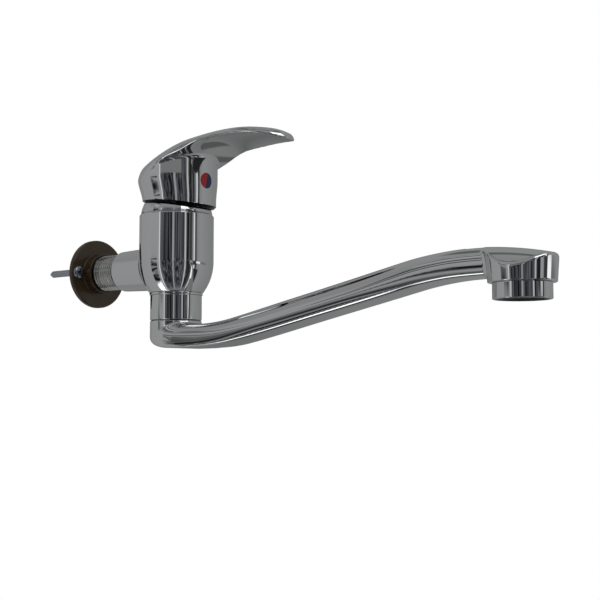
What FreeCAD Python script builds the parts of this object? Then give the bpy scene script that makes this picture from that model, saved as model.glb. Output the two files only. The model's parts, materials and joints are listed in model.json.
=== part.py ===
import FreeCAD, Part
import math
import os
import Sketcher

# Wall-mounted single-lever tap. Millimetres. The origin lies on the inlet axis in the wall
# plane, +X points away from the wall, +Z up and +Y to the right of someone facing the tap.
# The cartridge, the collar and the spout's swivel share one upright axis, axis_reach from
# the wall; heights are measured from the inlet axis.

SIZES = [
    ("axis_reach", 69.0),            # wall plane to the upright axis
    ("fit_gap", 0.05),               # between pieces that are fastened together
    ("running_gap", 0.05),           # between pieces that turn or slide on each other
    ("seal_gap", 0.03),              # between a rubber ring and its bore
    ("seat_gap", 0.2),               # round a piece that drops into its seat
    ("free_gap", 0.3),               # between moving pieces that never touch

    ("flange_radius", 20.5),
    ("flange_thickness", 3.0),
    ("flange_rim_chamfer", 0.8),
    ("hub_wall", 1.52),
    ("hub_reach", 8.75),             # wall plane to the end of the flange's hub
    ("flange_screw_offset", 16.0),
    ("flange_screw_radius", 2.0),
    ("flange_screw_neck", 0.2),      # how much thicker the shank is inside the flange
    ("flange_screw_length", 25.0),
    ("flange_screw_head_radius", 3.7),
    ("flange_screw_head_height", 1.9),
    ("cross_width", 1.1),
    ("cross_span", 4.4),
    ("cross_depth", 1.2),

    ("inlet_radius", 10.478),        # G 1/2 pipe thread, outside
    ("inlet_pitch", 1.814),
    ("inlet_thread_depth", 1.162),
    ("inlet_bore_radius", 7.2),
    ("inlet_waist", 0.4),            # how much thinner the nipple is where the flange sits
    ("inlet_tail", 12.0),            # plain end that goes into the wall fitting
    ("inlet_chamfer", 0.8),
    ("inlet_engagement", 14.0),      # length held inside the arm
    ("inlet_seal_thickness", 2.0),
    ("arm_reach", 26.3),             # wall plane to the mouth of the arm
    ("arm_wall", 1.272),             # metal round the socket at the mouth
    ("arm_flare", 0.75),             # how much thicker the arm is at its root
    ("arm_mouth_chamfer", 0.6),

    ("body_radius", 21.0),
    ("body_wall", 3.5),
    ("body_top", 29.3),
    ("body_shoulder", 1.0),          # height and depth of the rounded top edge
    ("bowl_start", 3.0),
    ("body_foot", -14.9),
    ("stub_wall", 2.85),
    ("stub_length", 9.6),            # threaded stub that takes the collar nut
    ("outlet_radius", 9.05),
    ("outlet_roof", -13.0),
    ("chamber_depth", 23.3),
    ("nut_thread_step", 1.5),
    ("nut_thread_depth", 7.3),
    ("passage_radius", 4.5),
    ("port_radius", 2.75),
    ("port_offset_x", 6.5),
    ("port_offset_y", 5.5),
    ("drain_radius", 3.5),
    ("drain_offset", 7.0),
    ("relief_depth", 4.5),           # where the drain runs out into the outlet's side

    ("base_height", 6.0),
    ("seal_width", 1.5),
    ("seal_height", 1.1),
    ("disc_thickness", 2.5),
    ("fixed_disc_radius", 14.2),
    ("moving_disc_radius", 10.5),
    ("mixing_pocket_radius", 7.5),
    ("mixing_pocket_depth", 1.2),
    ("driver_height", 3.4),
    ("driver_slot", 2.1),            # half length of the slot for the spindle's ball
    ("carrier_flange_height", 2.0),
    ("carrier_radius", 13.3),
    ("carrier_neck_radius", 11.8),
    ("carrier_stand", 2.0),          # how far the carrier shows above its housing
    ("carrier_slot_x", 10.3),
    ("carrier_slot_y", 4.1),
    ("housing_wall", 1.2),
    ("housing_neck_wall", 1.45),
    ("housing_lip_height", 1.5),
    ("housing_rise", 5.2),           # housing above the body's top
    ("nut_engagement", 4.7),
    ("nut_rise", 4.0),

    ("cover_inset", 0.7),            # cover's foot inside the body's outline
    ("cover_flare", 1.7),
    ("cover_flare_height", 2.7),
    ("cover_neck_height", 3.0),
    ("cover_dome_height", 3.0),
    ("cover_opening_radius", 13.0),
    ("cover_wall", 1.2),

    ("pivot_depth", 2.3),            # lift axis of the lever below the body's top
    ("pin_radius", 1.5),
    ("pin_half_length", 12.0),
    ("spindle_half_width", 3.8),
    ("spindle_length", 25.0),
    ("spindle_eye_radius", 4.4),
    ("spindle_ball_radius", 1.95),
    ("spindle_ball_drop", 1.2),      # ball's centre below the driver's top
    ("spindle_foot_radius", 1.1),

    ("handle_clearance", 5.65),      # body's top to the handle's rim, on the upright axis
    ("handle_tilt", 8.0),            # degrees, the rim is lower at the front
    ("handle_wall", 1.4),
    ("handle_taper", 1.55),
    ("handle_foot_offset", 2.0),
    ("handle_waist_offset", 0.6),
    ("handle_waist_rise", 12.95),
    ("handle_roof_rise", 8.0),
    ("handle_roof_slope", 17.0),     # degrees
    ("handle_well_radius", 15.0),
    ("handle_well_rise", 7.5),
    ("boss_radius", 6.8),
    ("boss_drop", 3.35),
    ("lever_reach", 82.3),           # upright axis to the lever's tip
    ("lever_rim", 3.0),
    ("lever_tip_rim", 2.0),
    ("mark_drop", 1.65),             # mark's centre below the handle's waist
    ("mark_radius", 4.6),
    ("mark_depth", 2.0),
    ("mark_inset", 0.15),
    ("mark_turn", 12.0),             # degrees, the colour split leans a little
    ("key_hole_radius", 3.2),
    ("grub_radius", 2.5),
    ("grub_length", 5.6),
    ("grub_socket_radius", 1.2),

    ("neck_ring_overhang", 0.45),
    ("neck_ring_height", 1.3),
    ("collar_radius", 14.5),
    ("collar_height", 14.1),
    ("collar_lip_height", 1.8),
    ("slip_washer_height", 0.75),

    ("spigot_bore_radius", 6.5),
    ("spigot_headroom", 2.0),
    ("spigot_seat", 3.4),            # depth of the spigot in the spout
    ("ring_groove_depth", 1.0),
    ("split_ring_height", 1.5),
    ("split_ring_opening", 3.0),
    ("o_ring_radius", 0.6),
    ("o_ring_drop", 2.6),
    ("o_ring_spacing", 4.0),

    ("spout_base_height", 15.6),
    ("spout_base_round", 2.0),
    ("spout_keel_bend", 36.0),       # the base's underside curves up towards the wall
    ("spout_keel_start", 7.0),       # from this far in front of the upright axis
    ("spout_rise", 28.75),           # low level run to high level run, centre lines
    ("spout_low_knee", 33.7),        # upright axis to the first bend's corner
    ("spout_head_run", 41.1),        # second bend's corner to the aerator's axis
    ("spout_low_bend", 133.0),       # bend radii in the upright plane
    ("spout_high_bend", 157.0),
    ("spout_half_width", 9.4),
    ("spout_half_height", 6.8),
    ("spout_edge_round", 1.4),
    ("spout_shoulder", 6.2),         # height of the section's upright sides
    ("spout_reach", 213.0),          # upright axis to the aerator's axis
    ("waterway_radius", 4.0),
    ("tip_margin", 2.0),             # head's foot outside the aerator
    ("tip_flare", 1.2),
    ("tip_drop", 10.15),
    ("tip_chamber_height", 8.5),
    ("tip_crown_radius", 19.0),
    ("tip_arch_radius", 180.0),
    ("tip_arch_offset", 26.0),       # from the aerator's axis back to the arch's top
    ("tip_arch_rise", 6.95),

    ("aerator_radius", 13.1),
    ("aerator_height", 7.3),
    ("aerator_chamfer", 0.8),
    ("aerator_step", 1.3),
    ("aerator_wall", 1.2),
    ("aerator_thread_length", 6.4),
    ("aerator_lip", 0.8),
    ("aerator_lip_height", 1.1),
    ("insert_height", 10.8),
    ("insert_hole_radius", 0.9),
    ("insert_inner_ring", 3.8),
    ("insert_outer_ring", 7.6),
    ("screen_thickness", 0.6),
]

# Levels and radii that follow from the sizes above. Levels are heights over the inlet axis.
RULES = {
    "hub_radius": "inlet_radius + hub_wall",
    "flange_screw_shank": "flange_screw_radius + flange_screw_neck",
    "arm_mouth_radius": "inlet_radius + arm_wall",
    "arm_root_radius": "arm_mouth_radius + arm_flare",
    "passage_start": "arm_reach + inlet_engagement + inlet_seal_thickness",

    "chamber_radius": "body_radius - body_wall",
    "chamber_floor": "body_top - chamber_depth",
    "nut_thread_radius": "chamber_radius + nut_thread_step",
    "nut_thread_start": "body_top - nut_thread_depth",
    "stub_radius": "outlet_radius + stub_wall",
    "stub_foot": "body_foot - stub_length",
    "neck_ring_radius": "collar_radius + neck_ring_overhang",
    "bowl_foot_radius": "neck_ring_radius + fit_gap",

    "base_radius": "chamber_radius - seat_gap",
    "fixed_disc_foot": "chamber_floor + base_height",
    "moving_disc_foot": "fixed_disc_foot + disc_thickness + running_gap",
    "driver_foot": "moving_disc_foot + disc_thickness",
    "driver_top": "fixed_disc_foot + disc_thickness + disc_thickness + driver_height",
    "carrier_foot": "driver_top + free_gap + running_gap",
    "carrier_flange_radius": "base_radius - housing_wall - free_gap",
    "carrier_shoulder": "housing_top - housing_lip_height - free_gap",
    "carrier_top": "housing_top + carrier_stand",
    "housing_neck_inside": "carrier_radius + free_gap + running_gap",
    "housing_neck_radius": "housing_neck_inside + housing_neck_wall",
    "housing_lip_radius": "carrier_neck_radius + free_gap",
    "housing_shoulder": "body_top - nut_engagement",
    "housing_top": "body_top + housing_rise",
    "nut_collar_radius": "cover_neck_radius - cover_wall - seat_gap",
    "nut_top": "body_top + nut_rise",

    "cover_foot_radius": "body_radius - cover_inset",
    "cover_neck_radius": "cover_foot_radius - cover_flare",
    "cover_neck_start": "body_top + cover_flare_height",
    "cover_dome_start": "cover_neck_start + cover_neck_height",
    "cover_top": "cover_dome_start + cover_dome_height",

    "pivot_height": "body_top - pivot_depth",
    "spindle_top": "pivot_height + spindle_length",
    "spindle_ball_height": "driver_top - spindle_ball_drop",
    "handle_cavity_radius": "cover_foot_radius + free_gap + free_gap",
    "handle_waist_radius": "handle_cavity_radius + handle_wall",
    "handle_foot_radius": "handle_waist_radius - handle_taper",
    "handle_bottom": "body_top + handle_clearance",
    "handle_waist": "handle_bottom + handle_waist_rise",
    "handle_roof": "handle_waist + handle_roof_rise",
    "handle_well_top": "handle_waist + handle_well_rise",
    "mark_height": "handle_waist - mark_drop",
    "mark_face": "handle_waist_offset + handle_waist_radius - mark_inset",
    "boss_bottom": "mark_height - boss_drop",

    "collar_top": "body_foot - neck_ring_height",
    "collar_foot": "collar_top - collar_height",
    "collar_seat": "collar_foot + collar_lip_height",
    "collar_lip_radius": "spigot_radius + free_gap",
    "spigot_radius": "outlet_radius - running_gap",
    "spigot_top": "outlet_roof - spigot_headroom",
    "split_ring_foot": "collar_seat + slip_washer_height + running_gap",
    "split_ring_radius": "stub_radius - free_gap - seat_gap",
    "upper_o_ring": "spigot_top - o_ring_drop",
    "lower_o_ring": "upper_o_ring - o_ring_spacing",
    "o_ring_centre": "outlet_radius - seal_gap - o_ring_radius",

    "spout_base_radius": "collar_radius",
    "spout_base_top": "collar_foot - free_gap",
    "spout_base_foot": "spout_base_top - spout_base_height",
    "spout_low_level": "spout_base_foot + spout_half_height",
    "spout_high_level": "spout_low_level + spout_rise",
    "spout_high_knee": "spout_reach - spout_head_run",
    "spout_floor_half_width": "spout_half_width - spout_edge_round",
    "tip_foot_radius": "aerator_radius + tip_margin",
    "tip_radius": "tip_foot_radius + tip_flare",
    "tip_foot": "spout_high_level - tip_drop",
    "tip_arch_top": "spout_high_level + tip_arch_rise",
    "tip_arch_start": "spout_reach - tip_arch_offset",
    "tip_chamber_roof": "tip_foot + tip_chamber_height",

    "head_axis": "axis_reach + spout_reach",
    "aerator_foot": "tip_foot - aerator_height",
    "aerator_thread_radius": "aerator_radius - aerator_step",
    "aerator_thread_top": "tip_foot + aerator_thread_length",
    "aerator_bore_radius": "aerator_thread_radius - aerator_wall",
    "aerator_lip_radius": "aerator_bore_radius - aerator_lip",
    "insert_foot": "aerator_foot + aerator_lip_height",
    "insert_top": "insert_foot + insert_height",
}

doc = FreeCAD.newDocument("wall_tap")
sheet = doc.addObject("Spreadsheet::Sheet", "sizes")
for row, (word, value) in enumerate(SIZES, start=1):
    sheet.set("A%d" % row, word)
    sheet.set("B%d" % row, str(value))
    sheet.setAlias("B%d" % row, word)
doc.recompute()

words = {word for word, value in SIZES}
nodes = []
UP = FreeCAD.Vector(0, 0, 1)
OUT = FreeCAD.Vector(1, 0, 0)
SIDE = FreeCAD.Vector(0, 1, 0)


def measure(rule):
    """The length that a rule such as "body_top - cover_wall" adds up to."""
    total = 0.0
    sign = 1
    for part in rule.split():
        if part in "+-":
            sign = 1 if part == "+" else -1
        elif part in RULES:
            total += sign * measure(RULES[part])
        else:
            total += sign * (getattr(sheet, part) if part in words else float(part))
    return total


def formula(rule):
    """The same rule as an expression bound to the sheet."""
    parts = []
    for part in rule.split():
        if part in RULES:
            parts.append("(" + formula(RULES[part]) + ")")
        else:
            parts.append("sizes." + part if part in words else part)
    return " ".join(parts)


def bind(item, **rules):
    for prop, rule in rules.items():
        item.setExpression(prop.replace("__", "."), formula(rule))


def node(item, name):
    item.Label = name
    nodes.append(item)
    return item


def plane_of(body, role):
    return [item for item in body.Origin.OriginFeatures if item.Role == role][0]


def outline_sketch(body, name, corners, arcs):
    """A closed profile on the body's XZ plane. Corners are pairs of rules. Arcs gives some edges,
    by number, the side to which they bulge, 1 to the left of their travel, and a radius rule."""
    sketch = body.newObject("Sketcher::SketchObject", name)
    sketch.AttachmentSupport = (plane_of(body, "XZ_Plane"), "")
    sketch.MapMode = "FlatFace"
    points = [FreeCAD.Vector(measure(across), measure(up), 0) for across, up in corners]
    ends = []
    for number, start in enumerate(points):
        end = points[(number + 1) % len(points)]
        if number in arcs:
            side, rule = arcs[number]
            chord = end - start
            left = FreeCAD.Vector(-chord.y, chord.x, 0).normalize() * side
            radius = measure(rule)
            rise = radius - math.sqrt(radius ** 2 - (chord.Length / 2) ** 2)
            middle = (start + end) / 2 + left * rise
            edge = sketch.addGeometry(Part.Arc(start, middle, end))
            swapped = (sketch.getPoint(edge, 1) - start).Length > (sketch.getPoint(edge, 2) - start).Length
            ends.append((edge, 2, 1) if swapped else (edge, 1, 2))
            bound = sketch.addConstraint(Sketcher.Constraint("Radius", edge, radius))
            sketch.setExpression("Constraints[%d]" % bound, formula(rule))
        else:
            edge = sketch.addGeometry(Part.LineSegment(start, end))
            ends.append((edge, 1, 2))
    for number, (edge, first, last) in enumerate(ends):
        following, joined, _ = ends[(number + 1) % len(ends)]
        sketch.addConstraint(Sketcher.Constraint("Coincident", edge, last, following, joined))
        for kind, rule, value in (("DistanceX", corners[number][0], points[number].x),
                                  ("DistanceY", corners[number][1], points[number].y)):
            bound = sketch.addConstraint(Sketcher.Constraint(kind, -1, 1, edge, first, value))
            sketch.setExpression("Constraints[%d]" % bound, formula(rule))
    return sketch


def revolve(body, name, corners, axis="V_Axis", kind="PartDesign::Revolution", arcs=None):
    sketch = outline_sketch(body, name + "_outline", corners, arcs or {})
    feature = body.newObject(kind, name)
    feature.Profile = sketch
    feature.ReferenceAxis = (sketch, [axis])
    feature.Angle = 360
    return feature


def turned(name, corners, arcs=None, reach="axis_reach", axis="V_Axis"):
    """A turned sub-part: about the upright axis at this reach, or about the inlet axis."""
    body = doc.addObject("PartDesign::Body", name + "_body")
    revolve(body, name + "_turning", corners, axis, arcs=arcs)
    bind(body, Placement__Base__x=reach)
    return body


def ring(name, inner, outer, low, high, reach="axis_reach"):
    return turned(name, [(inner, low), (outer, low), (outer, high), (inner, high)], reach=reach)


def cylinder(name, radius, height, x="0", y="0", z="0", along=UP):
    item = doc.addObject("Part::Cylinder", name)
    item.Placement.Rotation = FreeCAD.Rotation(UP, along)
    bind(item, Radius=radius, Height=height,
         Placement__Base__x=x, Placement__Base__y=y, Placement__Base__z=z)
    return item


def box(name, length, width, height, x, y, z):
    item = doc.addObject("Part::Box", name)
    bind(item, Length=length, Width=width, Height=height,
         Placement__Base__x=x, Placement__Base__y=y, Placement__Base__z=z)
    return item


def cut(name, base, *tools):
    for number, tool in enumerate(tools, start=1):
        item = doc.addObject("Part::Cut", "%s_cut_%d" % (name, number))
        item.Base = base
        item.Tool = tool
        base = item
    return base


def fuse(name, *items):
    item = doc.addObject("Part::MultiFuse", name + "_fuse")
    item.Shapes = list(items)
    return item


def group(name, *items):
    item = doc.addObject("Part::Compound", name + "_group")
    item.Links = list(items)
    return item


def mirrored(name, source):
    item = doc.addObject("Part::Mirroring", name + "_mirrored")
    item.Source = source
    item.Normal = SIDE
    return item


def shaped(name, shape, reach):
    """A sub-part whose shape is worked out here, then placed at its reach from the wall."""
    item = doc.addObject("Part::Feature", name + "_shape")
    item.Shape = shape
    bind(item, Placement__Base__x=reach)
    return item


def wall_flange():
    plate = turned("wall_flange", [
        ("0", "inlet_radius + fit_gap"),
        ("0", "flange_radius"),
        ("flange_thickness - flange_rim_chamfer", "flange_radius"),
        ("flange_thickness", "flange_radius - flange_rim_chamfer"),
        ("flange_thickness", "hub_radius"),
        ("hub_reach", "hub_radius"),
        ("hub_reach", "inlet_radius + fit_gap")], reach="0", axis="H_Axis")
    holes = [cylinder("flange_hole_" + side, "flange_screw_shank + fit_gap", "flange_thickness",
                      y=sign + " flange_screw_offset", along=OUT)
             for side, sign in (("left", "0 -"), ("right", "0 +"))]
    node(cut("wall_flange", plate, *holes), "wall_flange")


def flange_screws():
    screw = doc.addObject("PartDesign::Body", "flange_screw_body")
    revolve(screw, "flange_screw_turning", [
        ("flange_thickness - flange_screw_length", "0"),
        ("flange_thickness - flange_screw_length + flange_screw_radius", "flange_screw_radius"),
        ("0", "flange_screw_radius"),
        ("0", "flange_screw_shank"),
        ("flange_thickness", "flange_screw_shank"),
        ("flange_thickness", "flange_screw_head_radius"),
        ("flange_thickness + flange_screw_head_height", "0")], "H_Axis",
        arcs={5: (-1, "flange_screw_head_radius + flange_screw_head_radius - cross_depth")})
    bind(screw, Placement__Base__y="0 - flange_screw_offset")
    slots = []
    for name, across, up in (("cross_upright", "cross_width", "cross_span"),
                             ("cross_level", "cross_span", "cross_width")):
        slot = box(name, "cross_depth + cross_depth", across, up,
                   "flange_thickness + flange_screw_head_height - cross_depth", "0", "0")
        slot.setExpression("Placement.Base.y", "-sizes.flange_screw_offset - sizes.%s / 2" % across)
        slot.setExpression("Placement.Base.z", "-sizes.%s / 2" % up)
        slots.append(slot)
    left = cut("flange_screw", screw, *slots)
    node(group("flange_screws", left, mirrored("flange_screw", left)), "flange_screws")


def inlet_nipple():
    body = turned("inlet_nipple", [
        ("0 - inlet_tail", "inlet_bore_radius"),
        ("0 - inlet_tail", "inlet_radius - inlet_chamfer"),
        ("inlet_chamfer - inlet_tail", "inlet_radius"),
        ("0", "inlet_radius"),
        ("0", "inlet_radius - inlet_waist"),
        ("hub_reach", "inlet_radius - inlet_waist"),
        ("hub_reach", "inlet_radius"),
        ("arm_reach + inlet_engagement", "inlet_radius"),
        ("arm_reach + inlet_engagement", "inlet_bore_radius")], reach="0", axis="H_Axis")
    start = "hub_reach + fit_gap"
    groove = revolve(body, "inlet_thread_groove", [
        (start, "inlet_radius + fit_gap"),
        (start + " + inlet_pitch", "inlet_radius + fit_gap"),
        (start + " + inlet_thread_depth", "inlet_radius - inlet_thread_depth"),
        (start + " + inlet_pitch - inlet_thread_depth", "inlet_radius - inlet_thread_depth")],
        "H_Axis", "PartDesign::Groove")
    turns = int((measure("arm_reach") - measure("hub_reach")) / measure("inlet_pitch"))
    doc.recompute()
    thread = body.newObject("PartDesign::LinearPattern", "inlet_thread")
    thread.Originals = [groove]
    thread.Direction = (groove.Profile[0], ["H_Axis"])
    thread.Occurrences = turns
    thread.setExpression("Length", "sizes.inlet_pitch * %d" % (turns - 1))
    body.Tip = thread
    node(body, "inlet_nipple")


def inlet_seal():
    seat = "arm_reach + inlet_engagement"
    node(turned("inlet_seal", [
        (seat, "inlet_bore_radius"),
        (seat, "inlet_radius"),
        ("passage_start", "inlet_radius"),
        ("passage_start", "inlet_bore_radius")], reach="0", axis="H_Axis"), "inlet_seal")


def tap_body():
    casting = doc.addObject("PartDesign::Body", "tap_casting")
    revolve(casting, "bowl", [
        ("0", "stub_foot"),
        ("stub_radius", "stub_foot"),
        ("stub_radius", "body_foot"),
        ("bowl_foot_radius", "body_foot"),
        ("body_radius", "bowl_start"),
        ("body_radius", "body_top - body_shoulder"),
        ("body_radius - body_shoulder", "body_top"),
        ("0", "body_top")],
        arcs={3: (-1, "body_radius + body_radius - bowl_foot_radius + bowl_start"),
              5: (-1, "body_shoulder")})
    mouth = "arm_reach - axis_reach"
    revolve(casting, "arm", [
        (mouth, "0"),
        (mouth, "arm_mouth_radius - arm_mouth_chamfer"),
        (mouth + " + arm_mouth_chamfer", "arm_mouth_radius"),
        ("0 - chamber_radius", "arm_root_radius"),
        ("0 - chamber_radius", "0")], "H_Axis")
    bind(casting, Placement__Base__x="axis_reach")
    chamber = fuse("chamber", cylinder("cartridge_chamber", "chamber_radius", "body_top - chamber_floor",
                                       "axis_reach", z="chamber_floor"),
                   cylinder("nut_thread", "nut_thread_radius", "body_top - nut_thread_start",
                            "axis_reach", z="nut_thread_start"))
    socket = cylinder("inlet_socket", "inlet_radius + fit_gap", "inlet_engagement + inlet_seal_thickness",
                      "arm_reach", along=OUT)
    passage = cylinder("inlet_passage", "passage_radius", "axis_reach - passage_start",
                       "passage_start", along=OUT)
    ports = [cylinder("inlet_port_" + side, "port_radius", "chamber_floor",
                      "axis_reach - port_offset_x", sign + " port_offset_y")
             for side, sign in (("left", "0 -"), ("right", "0 +"))]
    drain = cylinder("drain", "drain_radius", "chamber_floor - outlet_roof",
                     "axis_reach + drain_offset", z="outlet_roof")
    outlet = cylinder("outlet", "outlet_radius", "outlet_roof - stub_foot", "axis_reach", z="stub_foot")
    relief = cylinder("outlet_relief", "drain_radius", "relief_depth",
                      "axis_reach + drain_offset", z="outlet_roof - relief_depth")
    node(cut("tap_body", casting, chamber, socket, passage, *ports, drain, outlet, relief), "tap_body")


def port_places():
    """Name, radius and place of the three water ports through the cartridge."""
    return [("left", "port_radius", "axis_reach - port_offset_x", "0 - port_offset_y"),
            ("right", "port_radius", "axis_reach - port_offset_x", "port_offset_y"),
            ("drain", "drain_radius", "axis_reach + drain_offset", "0")]


def cartridge_base():
    disc = cylinder("base_disc", "base_radius", "base_height - seat_gap",
                    "axis_reach", z="chamber_floor + seat_gap")
    tools = []
    for name, radius, x, y in port_places():
        tools.append(cylinder("base_port_" + name, radius, "base_height", x, y, "chamber_floor"))
        tools.append(cylinder("seal_seat_" + name, radius + " + seal_width", "seal_height",
                              x, y, "chamber_floor"))
    node(cut("cartridge_base", disc, *tools), "cartridge_base")


def base_seals():
    seals = []
    for name, radius, x, y in port_places():
        outer = cylinder("seal_outer_" + name, radius + " + seal_width - fit_gap", "seal_height",
                         x, y, "chamber_floor")
        inner = cylinder("seal_inner_" + name, radius + " + fit_gap", "seal_height", x, y, "chamber_floor")
        seals.append(cut("seal_" + name, outer, inner))
    node(group("base_seals", *seals), "base_seals")


def fixed_disc():
    foot = "fixed_disc_foot"
    disc = cylinder("fixed_blank", "fixed_disc_radius", "disc_thickness", "axis_reach", z=foot)
    ports = [cylinder("fixed_port_" + name, radius, "disc_thickness", x, y, foot)
             for name, radius, x, y in port_places()]
    node(cut("fixed_disc", disc, *ports), "fixed_disc")


def moving_disc():
    foot = "moving_disc_foot"
    disc = cylinder("moving_blank", "moving_disc_radius", "disc_thickness", "axis_reach", z=foot)
    pocket = cylinder("mixing_pocket", "mixing_pocket_radius", "mixing_pocket_depth", "axis_reach", z=foot)
    node(cut("moving_disc", disc, pocket), "moving_disc")


def disc_driver():
    plate = cylinder("driver_plate", "moving_disc_radius", "driver_height", "axis_reach", z="driver_foot")
    slot = box("driver_slot_box", "driver_slot + driver_slot", "driver_slot + driver_slot + free_gap",
               "driver_height", "axis_reach - driver_slot", "0", "driver_foot + fit_gap")
    slot.setExpression("Placement.Base.y", "-sizes.driver_slot - sizes.free_gap / 2")
    node(cut("disc_driver", plate, slot), "disc_driver")


def spindle_carrier():
    flange_top = "carrier_foot + carrier_flange_height"
    blank = turned("carrier", [
        ("0", "carrier_foot"),
        ("carrier_flange_radius", "carrier_foot"),
        ("carrier_flange_radius", flange_top),
        ("carrier_radius", flange_top),
        ("carrier_radius", "carrier_shoulder"),
        ("carrier_neck_radius", "carrier_shoulder"),
        ("carrier_neck_radius", "carrier_top"),
        ("0", "carrier_top")])
    slot = box("carrier_slot", "carrier_slot_x + carrier_slot_x", "carrier_slot_y + carrier_slot_y",
               "carrier_top", "axis_reach - carrier_slot_x", "0 - carrier_slot_y", "0")
    hole = cylinder("carrier_pin_hole", "pin_radius", "pin_half_length + pin_half_length",
                    "axis_reach", "0 - pin_half_length", "pivot_height", SIDE)
    node(cut("spindle_carrier", blank, slot, hole), "spindle_carrier")


def pivot_pin():
    node(cylinder("pin", "pin_radius", "pin_half_length + pin_half_length",
                  "axis_reach", "0 - pin_half_length", "pivot_height", SIDE), "pivot_pin")


def cartridge_housing():
    step = "carrier_foot + carrier_flange_height + free_gap"
    node(turned("cartridge_housing", [
        ("base_radius - housing_wall", "fixed_disc_foot"),
        ("base_radius", "fixed_disc_foot"),
        ("base_radius", "housing_shoulder"),
        ("housing_neck_radius", "housing_shoulder"),
        ("housing_neck_radius", "housing_top"),
        ("housing_lip_radius", "housing_top"),
        ("housing_lip_radius", "carrier_shoulder + free_gap"),
        ("housing_neck_inside", "carrier_shoulder + free_gap"),
        ("housing_neck_inside", step),
        ("base_radius - housing_wall", step)]), "cartridge_housing")


def cartridge_nut():
    node(turned("cartridge_nut", [
        ("housing_neck_radius + fit_gap", "housing_shoulder"),
        ("nut_thread_radius - fit_gap", "housing_shoulder"),
        ("nut_thread_radius - fit_gap", "body_top"),
        ("nut_collar_radius", "body_top"),
        ("nut_collar_radius", "nut_top"),
        ("housing_neck_radius + fit_gap", "nut_top")]), "cartridge_nut")


def dome_cover():
    inner_neck = "cover_neck_radius - cover_wall"
    node(turned("dome_cover", [
        ("cover_foot_radius - cover_wall", "body_top"),
        ("cover_foot_radius", "body_top"),
        ("cover_neck_radius", "cover_neck_start"),
        ("cover_neck_radius", "cover_dome_start"),
        ("cover_opening_radius", "cover_top"),
        ("cover_opening_radius", "cover_top - cover_wall"),
        (inner_neck, "cover_dome_start - cover_wall + free_gap"),
        (inner_neck, "cover_neck_start")],
        arcs={1: (1, "cover_neck_start - body_top + cover_wall"),
              3: (-1, "cover_neck_radius - cover_opening_radius + free_gap")}), "dome_cover")


def spindle():
    width = "spindle_half_width + spindle_half_width"
    stem = box("spindle_stem", width, width, "spindle_top - pivot_height",
               "axis_reach - spindle_half_width", "0 - spindle_half_width", "pivot_height")
    eye = cylinder("spindle_eye", "spindle_eye_radius", width,
                   "axis_reach", "0 - spindle_half_width", "pivot_height", SIDE)
    foot = cylinder("spindle_foot", "spindle_foot_radius", "pivot_height - spindle_ball_height",
                    "axis_reach", z="spindle_ball_height")
    ball = doc.addObject("Part::Sphere", "spindle_ball")
    bind(ball, Radius="spindle_ball_radius", Placement__Base__x="axis_reach",
         Placement__Base__z="spindle_ball_height")
    hole = cylinder("spindle_hole", "pin_radius + running_gap", width,
                    "axis_reach", "0 - spindle_half_width", "pivot_height", SIDE)
    node(cut("spindle", fuse("spindle", stem, eye, foot, ball), hole), "spindle")


# Stations along the lever, from the upright axis: reach, then the crown's and the rim's height
# over the handle's waist, how much narrower than the waist it is on each side, and the height of
# the underside's middle. The rim is the lower edge of the lever's sides.
LEVER_STATIONS = [
    (-21.2, 4.5, -1.0, 15.5, -1.5),
    (-17.5, 9.5, -0.7, 8.4, -1.0),
    (-10.0, 13.3, 1.1, 2.3, 0.5),
    (0.0, 16.3, 4.7, -0.1, 4.5),
    (11.0, 18.7, 9.7, 0.5, 8.5),
    (21.0, 20.7, 13.3, 2.1, 10.5),
    (31.0, 22.4, 15.3, 3.2, 17.1),
    (45.0, 23.7, 16.7, 3.9, 20.2),
    (59.0, 23.2, 16.7, 5.4, 19.9),
    (70.0, 21.1, 15.8, 8.3, 17.9),
    (76.0, 19.2, 14.2, 12.3, 15.6),
    (80.3, 17.5, 13.0, 17.3, 13.8),
]


def lever_section(reach, crown, rim, half_width, middle, thickness):
    """One upright section: crowned top, rounded edges and a hollow underside."""
    def at(y, z):
        return FreeCAD.Vector(reach, y, z)
    edge_bulge = thickness / 3
    upper = rim + thickness
    edges = [
        Part.Arc(at(-half_width, upper), at(0, crown), at(half_width, upper)).toShape(),
        Part.Arc(at(half_width, upper), at(half_width + edge_bulge, rim + thickness / 2),
                 at(half_width, rim)).toShape(),
        Part.Arc(at(half_width, rim), at(0, middle), at(-half_width, rim)).toShape(),
        Part.Arc(at(-half_width, rim), at(-half_width - edge_bulge, rim + thickness / 2),
                 at(-half_width, upper)).toShape()]
    return Part.Wire(edges)


def lever_blade():
    waist = measure("handle_waist")
    widest = measure("handle_waist_radius")
    end_rim = measure("lever_tip_rim")
    reach, crown, rim, inset, middle = LEVER_STATIONS[-1]
    stretch = measure("lever_reach - lever_tip_rim") / reach
    tip = lever_section(measure("lever_reach"), waist + crown - end_rim, waist + rim + end_rim / 4,
                        (widest - inset) / 3, waist + rim + end_rim / 2, end_rim / 2)
    sections = []
    for reach, crown, rim, inset, middle in LEVER_STATIONS:
        along = reach * stretch if reach > 0 else reach
        thickness = end_rim if reach >= LEVER_STATIONS[-2][0] else measure("lever_rim")
        sections.append(lever_section(along, waist + crown, waist + rim, widest - inset,
                                      waist + middle, thickness))
    return Part.makeLoft(sections + [tip], True, False)


def ring_wire(offset, radius, height):
    return Part.Wire(Part.Circle(FreeCAD.Vector(offset, 0, height), UP, radius).toShape())


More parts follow.
